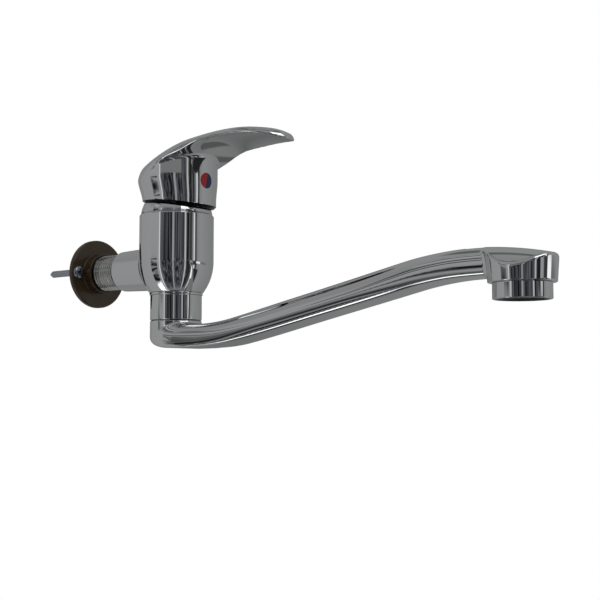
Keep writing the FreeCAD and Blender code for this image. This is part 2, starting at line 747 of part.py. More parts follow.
def handle_barrel():
    """The round lower half, leaning rim below and a slanted top that the blade covers."""
    foot_radius = measure("handle_foot_radius")
    foot_offset = measure("handle_foot_offset")
    waist_radius = measure("handle_waist_radius")
    waist_offset = measure("handle_waist_offset")
    waist = measure("handle_waist")
    bottom = measure("handle_bottom")
    spread = waist - bottom
    rings = [ring_wire(foot_offset, foot_radius, bottom - spread / 2),
             ring_wire(foot_offset, foot_radius, bottom),
             ring_wire(waist_offset, waist_radius, waist),
             ring_wire(waist_offset, waist_radius, waist + spread),
             ring_wire(foot_offset, foot_radius, waist + 2 * spread)]
    barrel = Part.makeLoft(rings, True, False)
    slab = 4 * waist_radius
    below = Part.makeBox(slab, slab, slab, FreeCAD.Vector(-slab / 2, -slab / 2, -slab))
    below.Placement = FreeCAD.Placement(FreeCAD.Vector(0, 0, bottom),
                                        FreeCAD.Rotation(SIDE, measure("handle_tilt")))
    above = Part.makeBox(slab, slab, slab, FreeCAD.Vector(-slab / 2, -slab / 2, 0))
    above.Placement = FreeCAD.Placement(FreeCAD.Vector(0, 0, measure("handle_roof")),
                                        FreeCAD.Rotation(SIDE, -measure("handle_roof_slope")))
    return barrel.cut(below).cut(above)


def handle():
    pivot = FreeCAD.Vector(0, 0, measure("pivot_height"))
    solid = handle_barrel().fuse(lever_blade())
    hollow = Part.makeSphere(measure("handle_cavity_radius"), pivot)
    well_top = measure("handle_well_top")
    well = Part.makeCylinder(measure("handle_well_radius"), well_top - pivot.z, pivot)
    boss_bottom = measure("boss_bottom")
    boss = Part.makeCylinder(measure("boss_radius"), well_top - boss_bottom,
                             FreeCAD.Vector(0, 0, boss_bottom))
    gap = measure("fit_gap")
    half = measure("spindle_half_width") + gap
    square = Part.makeBox(2 * half, 2 * half, measure("spindle_top") + gap - boss_bottom,
                          FreeCAD.Vector(-half, -half, boss_bottom))
    height = measure("mark_height")
    face = measure("mark_face")
    seat = Part.makeCylinder(measure("mark_radius") + gap, face,
                             FreeCAD.Vector(face - measure("mark_depth"), 0, height), OUT)
    key_hole = Part.makeCylinder(measure("key_hole_radius"), face,
                                 FreeCAD.Vector(measure("boss_radius"), 0, height), OUT)
    grub_hole = Part.makeCylinder(measure("grub_radius") + gap, measure("grub_length"),
                                  FreeCAD.Vector(half, 0, height), OUT)
    solid = solid.cut(hollow.fuse(well)).fuse(boss)
    solid = solid.cut(square).cut(seat).cut(key_hole).cut(grub_hole)
    node(shaped("handle", solid.removeSplitter(), "axis_reach"), "handle")


def handle_screw():
    x = "axis_reach + spindle_half_width + fit_gap"
    screw = cylinder("grub_blank", "grub_radius", "grub_length", x, z="mark_height", along=OUT)
    socket = cylinder("grub_socket", "grub_socket_radius", "grub_radius",
                      x + " + grub_length - grub_radius", z="mark_height", along=OUT)
    node(cut("handle_screw", screw, socket), "handle_screw")


def colour_marks():
    """The round plug over the handle screw, in two halves: hot to the left, cold to the right."""
    radius = measure("mark_radius")
    depth = measure("mark_depth")
    centre = FreeCAD.Vector(measure("mark_face") - depth, 0, measure("mark_height"))
    for name, side in (("hot_mark", -1), ("cold_mark", 1)):
        disc = Part.makeCylinder(radius, depth, centre, OUT)
        half = Part.makeBox(depth, radius, 2 * radius,
                            FreeCAD.Vector(0, 0 if side > 0 else -radius, -radius))
        half.Placement = FreeCAD.Placement(centre, FreeCAD.Rotation(OUT, -measure("mark_turn")))
        node(shaped(name, disc.common(half), "axis_reach"), name)


def neck_ring():
    node(ring("neck_ring", "stub_radius + fit_gap", "neck_ring_radius", "collar_top", "body_foot"),
         "neck_ring")


def collar_nut():
    node(turned("collar_nut", [
        ("collar_lip_radius", "collar_foot"),
        ("collar_radius", "collar_foot"),
        ("collar_radius", "collar_top"),
        ("stub_radius + fit_gap", "collar_top"),
        ("stub_radius + fit_gap", "collar_seat"),
        ("collar_lip_radius", "collar_seat")]), "collar_nut")


def slip_washer():
    node(ring("slip_washer", "collar_lip_radius", "stub_radius", "collar_seat",
              "collar_seat + slip_washer_height"), "slip_washer")


def spout_spigot():
    blank = ring("spigot_tube", "spigot_bore_radius", "spigot_radius", "spout_base_top - spigot_seat",
                 "spigot_top")
    grooves = [ring("split_ring_groove", "spigot_radius - ring_groove_depth",
                    "spigot_radius + ring_groove_depth",
                    "split_ring_foot", "split_ring_foot + split_ring_height")]
    for name in ("upper_o_ring", "lower_o_ring"):
        grooves.append(ring(name + "_groove", "o_ring_centre - o_ring_radius",
                            "o_ring_centre + o_ring_radius + o_ring_radius",
                            name + " - o_ring_radius - fit_gap", name + " + o_ring_radius + fit_gap"))
    node(cut("spout_spigot", blank, *grooves), "spout_spigot")


def spout_o_rings():
    rings = []
    for name in ("upper_o_ring", "lower_o_ring"):
        torus = doc.addObject("Part::Torus", name)
        bind(torus, Radius1="o_ring_centre", Radius2="o_ring_radius",
             Placement__Base__x="axis_reach", Placement__Base__z=name)
        rings.append(torus)
    node(group("spout_o_rings", *rings), "spout_o_rings")


def split_ring():
    blank = ring("split_ring_blank", "spigot_radius - ring_groove_depth", "split_ring_radius",
                 "split_ring_foot", "split_ring_foot + split_ring_height")
    opening = box("split_ring_gap", "split_ring_radius", "split_ring_opening",
                  "split_ring_height + split_ring_height", "axis_reach - split_ring_radius", "0",
                  "split_ring_foot")
    opening.setExpression("Placement.Base.y", "-sizes.split_ring_opening / 2")
    node(cut("split_ring", blank, opening), "split_ring")


def spout_line():
    """The centre line as joined edges: level, bend, slope, bend and level."""
    low = measure("spout_low_level")
    high = measure("spout_high_level")
    low_knee = measure("spout_low_knee")
    high_knee = measure("spout_high_knee")
    angle = math.atan2(high - low, high_knee - low_knee)
    low_radius = measure("spout_low_bend")
    high_radius = measure("spout_high_bend")
    low_run = low_radius * math.tan(angle / 2)
    high_run = high_radius * math.tan(angle / 2)

    def along_slope(knee, level, run):
        return FreeCAD.Vector(knee + run * math.cos(angle), 0, level + run * math.sin(angle))
    start = FreeCAD.Vector(0, 0, low)
    bend_in = FreeCAD.Vector(low_knee - low_run, 0, low)
    bend_out = along_slope(low_knee, low, low_run)
    top_in = along_slope(high_knee, high, -high_run)
    top_out = FreeCAD.Vector(high_knee + high_run, 0, high)
    end = FreeCAD.Vector(measure("spout_reach - waterway_radius"), 0, high)
    low_middle = FreeCAD.Vector(bend_in.x + low_radius * math.sin(angle / 2), 0,
                                low + low_radius * (1 - math.cos(angle / 2)))
    high_middle = FreeCAD.Vector(top_out.x - high_radius * math.sin(angle / 2), 0,
                                 high - high_radius * (1 - math.cos(angle / 2)))
    return [Part.LineSegment(start, bend_in).toShape(),
            Part.Arc(bend_in, low_middle, bend_out).toShape(),
            Part.LineSegment(bend_out, top_in).toShape(),
            Part.Arc(top_in, high_middle, top_out).toShape(),
            Part.LineSegment(top_out, end).toShape()]


def spout_section():
    """The arm's section, square to the level start of its centre line: flat floor, low upright
    sides and a round top."""
    half = measure("spout_half_width")
    floor = measure("spout_floor_half_width")
    low = measure("spout_low_level - spout_half_height")
    shoulder = low + measure("spout_shoulder")
    top = measure("spout_low_level + spout_half_height")

    def at(y, z):
        return FreeCAD.Vector(0, y, z)
    edge = half - floor
    corner = edge * (1 - math.sqrt(0.5))
    edges = [
        Part.LineSegment(at(-floor, low), at(floor, low)).toShape(),
        Part.Arc(at(floor, low), at(half - corner, low + corner), at(half, low + edge)).toShape(),
        Part.LineSegment(at(half, low + edge), at(half, shoulder)).toShape(),
        Part.Arc(at(half, shoulder), at(0, top), at(-half, shoulder)).toShape(),
        Part.LineSegment(at(-half, shoulder), at(-half, low + edge)).toShape(),
        Part.Arc(at(-half, low + edge), at(corner - half, low + corner), at(-floor, low)).toShape()]
    return Part.Wire(edges)


def swept(profile, path):
    pipe = Part.BRepOffsetAPI.MakePipeShell(Part.Wire(path))
    pipe.add(profile)
    pipe.build()
    pipe.makeSolid()
    return pipe.shape()


def tip_vault():
    """The crowned, drooping surface that tops the head, as the outside of a large torus."""
    arch = measure("tip_arch_radius")
    crown = measure("tip_crown_radius")
    centre = FreeCAD.Vector(measure("tip_arch_start"), 0, measure("tip_arch_top") - arch)
    return Part.makeTorus(arch - crown, crown, centre, SIDE)


def spout_vault():
    """Everything the arm may fill: all of it up to the vault's top, then only the vault."""
    width = 4 * measure("tip_radius")
    height = 4 * (measure("spout_rise") + measure("spout_base_height"))
    length = measure("tip_arch_start") + width
    room = Part.makeBox(length, width, height, FreeCAD.Vector(-width, -width / 2, -height / 2))
    return room.fuse(tip_vault())


def spout_tip():
    """The round head: a slightly tapered drum under the vault."""
    foot = measure("tip_foot")
    drum = Part.makeCone(measure("tip_foot_radius"), measure("tip_radius"),
                         measure("tip_arch_top") - foot, FreeCAD.Vector(measure("spout_reach"), 0, foot))
    return drum.common(tip_vault())


def spout_keel():
    """What the base's curved underside leaves out, behind the place where the curve starts."""
    bend = measure("spout_keel_bend")
    start = measure("spout_keel_start")
    foot = measure("spout_base_foot")
    deep = 2 * measure("spout_base_radius")
    corner = FreeCAD.Vector(start - 2 * deep, -deep, foot - bend)
    block = Part.makeBox(2 * deep, 2 * deep, bend + measure("spout_base_height") / 2, corner)
    hull = Part.makeCylinder(bend, 2 * deep, FreeCAD.Vector(start, -deep, foot + bend), SIDE)
    return block.cut(hull)


def spout():
    base_radius = measure("spout_base_radius")
    base_top = measure("spout_base_top")
    base_foot = measure("spout_base_foot")
    base = Part.makeCylinder(base_radius, base_top - base_foot, FreeCAD.Vector(0, 0, base_foot))
    keel = spout_keel()
    base = base.cut(keel)
    rim = [edge for edge in base.Edges if edge.BoundBox.ZMax < base_top and edge.Length > base_radius]
    base = base.makeFillet(measure("spout_base_round"), rim)
    path = spout_line()
    arm = swept(spout_section(), path).common(spout_vault()).cut(keel)
    solid = base.fuse(arm).fuse(spout_tip())

    centre = FreeCAD.Vector(0, 0, measure("spout_low_level"))
    waterway = swept(Part.Wire(Part.Circle(centre, OUT, measure("waterway_radius")).toShape()), path)
    gap = measure("fit_gap")
    seat = measure("spigot_seat") + gap
    socket = Part.makeCylinder(measure("spigot_radius") + gap, seat, FreeCAD.Vector(0, 0, base_top - seat))
    well = Part.makeCylinder(measure("spigot_bore_radius"), base_top - centre.z + measure("waterway_radius") / 2,
                             FreeCAD.Vector(0, 0, centre.z - measure("waterway_radius") / 2))
    foot = measure("tip_foot")
    chamber = Part.makeCylinder(measure("aerator_thread_radius") + gap, measure("tip_chamber_roof") - foot,
                                FreeCAD.Vector(measure("spout_reach"), 0, foot))
    solid = solid.cut(waterway.fuse(well).fuse(socket).fuse(chamber))
    node(shaped("spout", solid.removeSplitter(), "axis_reach"), "spout")


def aerator_housing():
    node(turned("aerator_housing", [
        ("aerator_lip_radius", "aerator_foot"),
        ("aerator_radius - aerator_chamfer", "aerator_foot"),
        ("aerator_radius", "aerator_foot + aerator_chamfer"),
        ("aerator_radius", "tip_foot"),
        ("aerator_thread_radius", "tip_foot"),
        ("aerator_thread_radius", "aerator_thread_top"),
        ("aerator_bore_radius", "aerator_thread_top"),
        ("aerator_bore_radius", "insert_foot"),
        ("aerator_lip_radius", "insert_foot")], reach="head_axis"), "aerator_housing")


def aerator_insert():
    """Plastic flow former: a drum with two rings of small holes."""
    drum = cylinder("insert_drum", "aerator_bore_radius - fit_gap", "insert_height",
                    "head_axis", z="insert_foot")
    holes = []
    for count, ring_radius in ((6, "insert_inner_ring"), (12, "insert_outer_ring")):
        for number in range(count):
            angle = 360.0 * number / count
            hole = cylinder("insert_hole_%d_%d" % (count, number), "insert_hole_radius",
                            "insert_height", "head_axis", z="insert_foot")
            hole.setExpression("Placement.Base.x", "%s + sizes.%s * cos(%g deg)" % (
                formula("head_axis"), ring_radius, angle))
            hole.setExpression("Placement.Base.y", "sizes.%s * sin(%g deg)" % (ring_radius, angle))
            holes.append(hole)
    node(cut("aerator_insert", drum, group("insert_holes", *holes)), "aerator_insert")


def aerator_screen():
    node(cylinder("screen", "aerator_bore_radius - fit_gap", "screen_thickness",
                  "head_axis", z="insert_top"), "aerator_screen")


def aerator_seal():
    node(ring("aerator_seal", "aerator_lip_radius", "aerator_thread_radius",
              "aerator_thread_top", "tip_chamber_roof", reach="head_axis"), "aerator_seal")


for build in (wall_flange, flange_screws, inlet_nipple, inlet_seal, tap_body, cartridge_base, base_seals,
              fixed_disc, cartridge_housing, cartridge_nut, dome_cover, neck_ring, collar_nut, slip_washer,
              spindle_carrier, pivot_pin, moving_disc, disc_driver, spindle, handle, handle_screw,
              colour_marks, spout, spout_spigot, spout_o_rings, split_ring, aerator_housing,
              aerator_insert, aerator_screen, aerator_seal):
    build()
doc.recompute()

for item in doc.Objects:
    if "Invalid" in item.State or "Error" in item.State:
        raise RuntimeError("%s failed: %s" % (item.Label, item.State))
for item in nodes:
    if item.Shape.isNull() or not item.Shape.isValid() or item.Shape.Volume <= 0:
        raise RuntimeError("%s has no valid solid" % item.Label)

os.makedirs("parts", exist_ok=True)
for item in nodes:
    item.Shape.exportStep("parts/%s.step" % item.Label)
    bounds = item.Shape.BoundBox
    print("%-20s %2d solid(s) %9.1f mm3  x %.1f..%.1f  y %.1f..%.1f  z %.1f..%.1f" % (
        item.Label, len(item.Shape.Solids), item.Shape.Volume,
        bounds.XMin, bounds.XMax, bounds.YMin, bounds.YMax, bounds.ZMin, bounds.ZMax))
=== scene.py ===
# A chromed single-lever tap on one wall inlet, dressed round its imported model.
# Lengths in the dictionaries are millimetres and angles are degrees. "Run" is the distance in
# front of the upright axis through the cartridge, collar and swivel, and heights are over the
# inlet's axis.
import json
import math

import bmesh
import bpy
import numpy as np
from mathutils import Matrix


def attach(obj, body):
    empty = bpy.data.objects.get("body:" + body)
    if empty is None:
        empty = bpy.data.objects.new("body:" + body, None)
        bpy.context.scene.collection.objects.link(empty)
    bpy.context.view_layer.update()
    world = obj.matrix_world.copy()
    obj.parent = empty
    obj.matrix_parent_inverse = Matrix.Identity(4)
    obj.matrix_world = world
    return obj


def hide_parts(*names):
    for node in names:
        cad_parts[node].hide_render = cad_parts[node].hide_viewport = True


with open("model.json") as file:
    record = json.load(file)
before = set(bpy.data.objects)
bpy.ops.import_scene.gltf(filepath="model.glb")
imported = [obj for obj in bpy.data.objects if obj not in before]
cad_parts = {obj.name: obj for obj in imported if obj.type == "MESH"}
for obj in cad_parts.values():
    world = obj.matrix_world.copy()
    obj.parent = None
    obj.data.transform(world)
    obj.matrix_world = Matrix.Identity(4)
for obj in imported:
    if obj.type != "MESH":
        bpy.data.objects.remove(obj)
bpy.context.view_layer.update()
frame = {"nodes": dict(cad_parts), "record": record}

mm = 0.001
wallToAxis = 69.0
joinWithin = 0.0001
plainWhite = (1, 1, 1, 1)
print("frame loaded:", len(frame["nodes"]), "nodes")


def linearColour(hexText):
    values = [int(hexText[i:i + 2], 16) / 255 for i in (1, 3, 5)]
    return [v / 12.92 if v <= 0.04045 else ((v + 0.055) / 1.055) ** 2.4 for v in values] + [1.0]


def addNode(tree, kind, settings=None, links=None):
    # settings are node properties where the node has one of that name, else input values;
    # a link starts at a socket, at a node's first output, or at each of a list of these
    made = tree.nodes.new(kind)
    for key, value in (settings or {}).items():
        if isinstance(key, str) and hasattr(made, key):
            setattr(made, key, value)
        else:
            made.inputs[key].default_value = value
    for key, sources in (links or {}).items():
        for source in sources if isinstance(sources, list) else [sources]:
            socket = source if isinstance(source, bpy.types.NodeSocket) else source.outputs[0]
            tree.links.new(socket, made.inputs[key])
    return made


def addObject(name, data):
    data.name = name
    made = bpy.data.objects.new(name, data)
    bpy.context.scene.collection.objects.link(made)
    return made


def newShader(kind, name):
    # a world or a material with an empty node tree
    made = kind.new(name)
    made.use_nodes = True
    made.node_tree.nodes.clear()
    return made, made.node_tree


def newMesh(points, faces):
    mesh = bpy.data.meshes.new("mesh")
    mesh.from_pydata((np.array(points, float) * mm).tolist(), [], faces)
    mesh.polygons.foreach_set("use_smooth", [True] * len(mesh.polygons))
    mesh.update()
    return mesh


# The camera stands where the photograph was taken from, below the spout's tip and looking up a little
cameraPlace = {"run": 411.62, "side": -407.19, "height": -60.99, "turn": 38.36, "tilt": 4.212,
               "lens": 61.15, "sensor": 36, "nearest": 10}


def placeCamera():
    c = cameraPlace
    data = bpy.data.cameras.new("camera")
    data.lens = c["lens"]
    data.sensor_width = c["sensor"]
    data.clip_start = c["nearest"] * mm
    camera = addObject("camera", data)
    camera.location = ((wallToAxis + c["run"]) * mm, c["side"] * mm, c["height"] * mm)
    camera.rotation_euler = (math.radians(90 + c["tilt"]), 0, math.radians(c["turn"]))
    bpy.context.scene.camera = camera
    bpy.context.scene.view_settings.view_transform = "Standard"


# The studio is a white room with soft lamps and a ring of cards that only shiny surfaces see.
# A clutter is its stretch over bearing and rise, and its depth.
studio = {"worldForMatt": 0.62, "floorHeight": -620, "floorSize": 12000, "floorColour": "#f2f2f1",
          "tentRadius": 1200, "tentLow": -550, "tentHigh": 1100, "tentSides": 96, "cardGain": 2.4,
          "cardEdge": 1.2, "darkest": 0.004, "coolBelow": 0.13, "coolShare": 1.12,
          "curtainClutter": ((16, 5, 1), 0.13), "stripClutter": ((1.5, 8, 1), 0.4),
          "lampAim": (150, 0, 0)}
lamps = {"keySoftbox": {"place": (750, -750, 950), "size": 800, "watts": 7.0},
         "fillSoftbox": {"place": (900, 700, 350), "size": 900, "watts": 3.0}}


def cameraOrShiny(tree):
    # 1 for camera, glossy and transmission rays, which all see a plain white surround
    path = addNode(tree, "ShaderNodeLightPath").outputs
    first = addNode(tree, "ShaderNodeMath", {"operation": "MAXIMUM"},
                    {0: path["Is Camera Ray"], 1: path["Is Glossy Ray"]})
    return addNode(tree, "ShaderNodeMath", {"operation": "MAXIMUM"},
                   {0: first, 1: path["Is Transmission Ray"]})


def dressWorld():
    world, tree = newShader(bpy.data.worlds, "whiteRoom")
    bpy.context.scene.world = world
    matt = addNode(tree, "ShaderNodeBackground", {"Color": plainWhite, "Strength": studio["worldForMatt"]})
    clear = addNode(tree, "ShaderNodeBackground", {"Color": plainWhite, "Strength": 1.0})
    mix = addNode(tree, "ShaderNodeMixShader", {}, {0: cameraOrShiny(tree), 1: matt, 2: clear})
    addNode(tree, "ShaderNodeOutputWorld", {}, {"Surface": mix})


def makeFloor():
    half, height = studio["floorSize"] / 2, studio["floorHeight"]
    corners = [(-half, -half, height), (half, -half, height), (half, half, height), (-half, half, height)]
    mesh = newMesh(corners, [(0, 1, 2, 3)])
    floor = addObject("studioFloor", mesh)
    material, tree = newShader(bpy.data.materials, "paleFloor")
    pale = addNode(tree, "ShaderNodeBsdfDiffuse", {"Color": linearColour(studio["floorColour"])})
    clear = addNode(tree, "ShaderNodeEmission", {"Color": plainWhite, "Strength": 1.0})
    mix = addNode(tree, "ShaderNodeMixShader", {}, {0: cameraOrShiny(tree), 1: pale, 2: clear})
    addNode(tree, "ShaderNodeOutputMaterial", {}, {"Surface": mix})
    mesh.materials.append(material)


# Brightness of the cards by bearing round the upright axis, degrees from straight ahead: grey
# walls, and in front of the tap a dark curtain with a few narrow white slits.
curtain = [(-180, 0.37), (-99.5, 0.42), (-98.5, 0.9), (-97, 0.9), (-95.5, 0.2), (-88, 0.09), (-80, 0.045),
           (-73, 0.07), (-64, 0.028), (-59, 0.03), (-57, 0.4), (-54, 0.4), (-51, 0.07), (-35, 0.08),
           (-21, 0.09), (-20, 0.62), (-16.5, 0.62), (-15, 0.02), (-7, 0.012), (-4, 0.09), (0, 0.015),
           (4, 0.2), (8, 0.35), (9, 0.95), (12, 0.95), (13.5, 0.05), (18, 0.06), (21, 0.3), (32, 0.36),
           (118, 0.24), (134, 0.16), (150, 0.3)]
# Brightness by rise, degrees. Where the near side of the spout mirrors the room: level strips over
# a white table.
strips = [(-90, 0.012), (-76, 0.02), (-70, 1.8), (-43, 1.8), (-36, 0.3), (-29, 0.02), (-19, 0.012),
          (-12.5, 0.015), (-9.5, 0.26), (-7, 0.07), (-4, 0.05), (-1.5, 0.3), (4.2, 0.34), (4.9, 0.03),
          (5.6, 0.03), (6.4, 0.38), (14.5, 0.42), (15.6, 0.08), (17.2, 0.07), (18.6, 0.36), (21, 0.42),
          (24, 0.14), (27, 0.34), (34, 0.45), (40, 0.12), (43, 0.4), (52, 0.42), (58, 0.15), (64, 0.34),
          (74, 0.14), (84, 0.36), (90, 0.25)]
# On the other sides: ceiling and floor, over and under the curtain.
upperRoom = [(-90, 0.015), (-70, 0.02), (-63, 0.3), (26, 0.3), (60, 0.36), (64, 0.16), (69, 0.14),
             (74, 0.34), (90, 0.31)]
# Shares from 0 to 1: where the strips, the curtain and the clutter of each show
stripBearings = [(-131, 0), (-128, 1), (-108, 1), (-104, 0)]
curtainRise = [(-66, 0), (-54, 1), (26, 1), (34, 0)]
curtainClutterBearings = [(-108, 0), (-96, 1), (14, 1), (26, 0)]
stripClutterRise = [(-90, 1), (5.4, 1), (6.4, 0), (15, 0), (16, 1)]
# Single cards: bearings of their two edges, rises of the other two, and brightness
singleCards = {"softbox": (-30, 18, 29, 55, 1.9), "darkTable": (101, 117.5, -39.6, -27, 0.12),
               "darkFloor": (-12, 27, -62, -13, 0.03), "greyPlate": (-94, -35, 12.2, 24, 0.24),
               "leftDoor": (-4, 4, -6, 2, 0.4), "doorFrame": (6, 16, -6, 2, 0.05),
               "rightDoor": (18, 32, -2.2, 0.9, 1.3), "cupboard": (34, 56, -1.8, 1.2, 0.2)}


def fillRamp(ramp, stations, reach, gain):
    # stations lie within reach of straight ahead; the dim parts of a glowing ramp are a little blue
    stops = ramp.color_ramp.elements
    while len(stops) < len(stations):
        stops.new(1.0)
    for stop, (place, level) in zip(stops, stations):
        stop.position = (place + reach) / (2 * reach)
        cool = studio["coolShare"] if gain > 1 and level < studio["coolBelow"] else 1
        stop.color = (level / gain, level / gain, cool * level / gain, 1)


def cardGlow():
    # what the cards show depends only on the bearing and the rise of the place that is seen
    material, tree = newShader(bpy.data.materials, "studioCardGlow")
    material.cycles.emission_sampling = "NONE"
    gain = studio["cardGain"]
    spot = addNode(tree, "ShaderNodeTexCoord").outputs["Object"]
    place = addNode(tree, "ShaderNodeSeparateXYZ", {}, {0: spot}).outputs
    flat = addNode(tree, "ShaderNodeVectorMath", {"operation": "MULTIPLY", 1: (1, 1, 0)}, {0: spot})
    away = addNode(tree, "ShaderNodeVectorMath", {"operation": "LENGTH"}, {0: flat}).outputs["Value"]
    bearing = addNode(tree, "ShaderNodeMath", {"operation": "ARCTAN2"}, {0: place["Y"], 1: place["X"]})
    rise = addNode(tree, "ShaderNodeMath", {"operation": "ARCTAN2"}, {0: place["Z"], 1: away})
    angles = addNode(tree, "ShaderNodeCombineXYZ", {}, {0: bearing, 1: rise})
    shown = {}
    for angle, reach, ramps in (
            (bearing, 180, (("curtain", curtain, gain), ("stripSide", stripBearings, 1),
                            ("clutterSide", curtainClutterBearings, 1))),
            (rise, 90, (("strips", strips, gain), ("upper", upperRoom, gain), ("level", curtainRise, 1),
                        ("clutterRise", stripClutterRise, 1)))):
        share = addNode(tree, "ShaderNodeMapRange", {
            "From Min": -math.radians(reach), "From Max": math.radians(reach)}, {0: angle})
        for label, stations, scale in ramps:
            shown[label] = addNode(tree, "ShaderNodeValToRGB", {}, {0: share})
            fillRamp(shown[label], stations, reach, scale)

    def clutter(base, kind, share):
        # breaks a smooth card up into streaks, as the furniture of a room does
        stretch, depth = studio[kind]
        spread = addNode(tree, "ShaderNodeVectorMath", {"operation": "MULTIPLY", 1: stretch}, {0: angles})
        noise = addNode(tree, "ShaderNodeTexNoise", {"Scale": 1.0, "Detail": 2.0, "Distortion": 0.4},
                        {"Vector": spread})
        swing = addNode(tree, "ShaderNodeMapRange", {
            "clamp": False, "From Min": 0.5, "From Max": 0.75, "To Min": 0.0, "To Max": depth / gain},
                        {0: noise.outputs["Fac"]})
        amount = addNode(tree, "ShaderNodeMath", {"operation": "MULTIPLY"}, {0: swing, 1: shown[share]})
        added = addNode(tree, "ShaderNodeVectorMath", {"operation": "ADD"}, {0: shown[base], 1: amount})
        return addNode(tree, "ShaderNodeVectorMath", {
            "operation": "MAXIMUM", 1: [studio["darkest"]] * 3}, {0: added})

    front = clutter("curtain", "curtainClutter", "clutterSide")
    flank = clutter("strips", "stripClutter", "clutterRise")
    walls = addNode(tree, "ShaderNodeMix", {"data_type": "RGBA"}, {
        0: shown["level"], 6: shown["upper"], 7: front})
    soft = studio["cardEdge"]
    for left, right, low, high, level in singleCards.values():
        cover = None
        for angle, edge, side in ((bearing, left, soft), (bearing, right, -soft), (rise, low, soft),
                                  (rise, high, -soft)):
            step = addNode(tree, "ShaderNodeMapRange", {
                "interpolation_type": "SMOOTHSTEP", "From Min": math.radians(edge - side),
                "From Max": math.radians(edge + side)}, {0: angle})
            cover = step if cover is None else addNode(
                tree, "ShaderNodeMath", {"operation": "MULTIPLY"}, {0: cover, 1: step})
        walls = addNode(tree, "ShaderNodeMix", {"data_type": "RGBA", 7: [level / gain] * 3 + [1]}, {
            0: cover, 6: walls.outputs[2]})
    both = addNode(tree, "ShaderNodeMix", {"data_type": "RGBA"}, {
        0: shown["stripSide"], 6: walls.outputs[2], 7: flank})
    glow = addNode(tree, "ShaderNodeEmission", {"Strength": gain}, {"Color": both.outputs[2]})
    addNode(tree, "ShaderNodeOutputMaterial", {}, {"Surface": glow})
    return material


def makeCards():
    count, radius = studio["tentSides"], studio["tentRadius"]
    turns = [2 * math.pi * i / count for i in range(count)]
    points = [(radius * math.cos(turn), radius * math.sin(turn), height)
              for height in (studio["tentLow"], studio["tentHigh"]) for turn in turns]
    faces = [(i, (i + 1) % count, count + (i + 1) % count, count + i) for i in range(count)]
    faces += [tuple(reversed(range(count))), tuple(range(count, 2 * count))]
    mesh = newMesh(points, faces)
    mesh.materials.append(cardGlow())
    cards = addObject("studioCards", mesh)
    cards.location = (wallToAxis * mm, 0, 0)
    for kind in ("camera", "diffuse", "transmission", "shadow", "volume_scatter"):
        setattr(cards, "visible_" + kind, False)


def addLamp(name, facts):
    # a round softbox that shiny surfaces don't see
    data = bpy.data.lights.new(name, "AREA")
    data.shape = "DISK"
    data.size = facts["size"] * mm
    data.energy = facts["watts"]
    lamp = addObject(name, data)
    lamp.location = [value * mm for value in facts["place"]]
    ahead, side, rise = [a - p for a, p in zip(studio["lampAim"], facts["place"])]
    bearing = math.atan2(side, ahead)
    lamp.rotation_euler = (math.atan2(math.hypot(ahead, side), -rise), 0, bearing - math.pi / 2)
    lamp.visible_glossy = False


placeCamera()
dressWorld()
makeFloor()
makeCards()
for lampName, lampFacts in lamps.items():
    addLamp(lampName, lampFacts)
print("camera and studio ready")

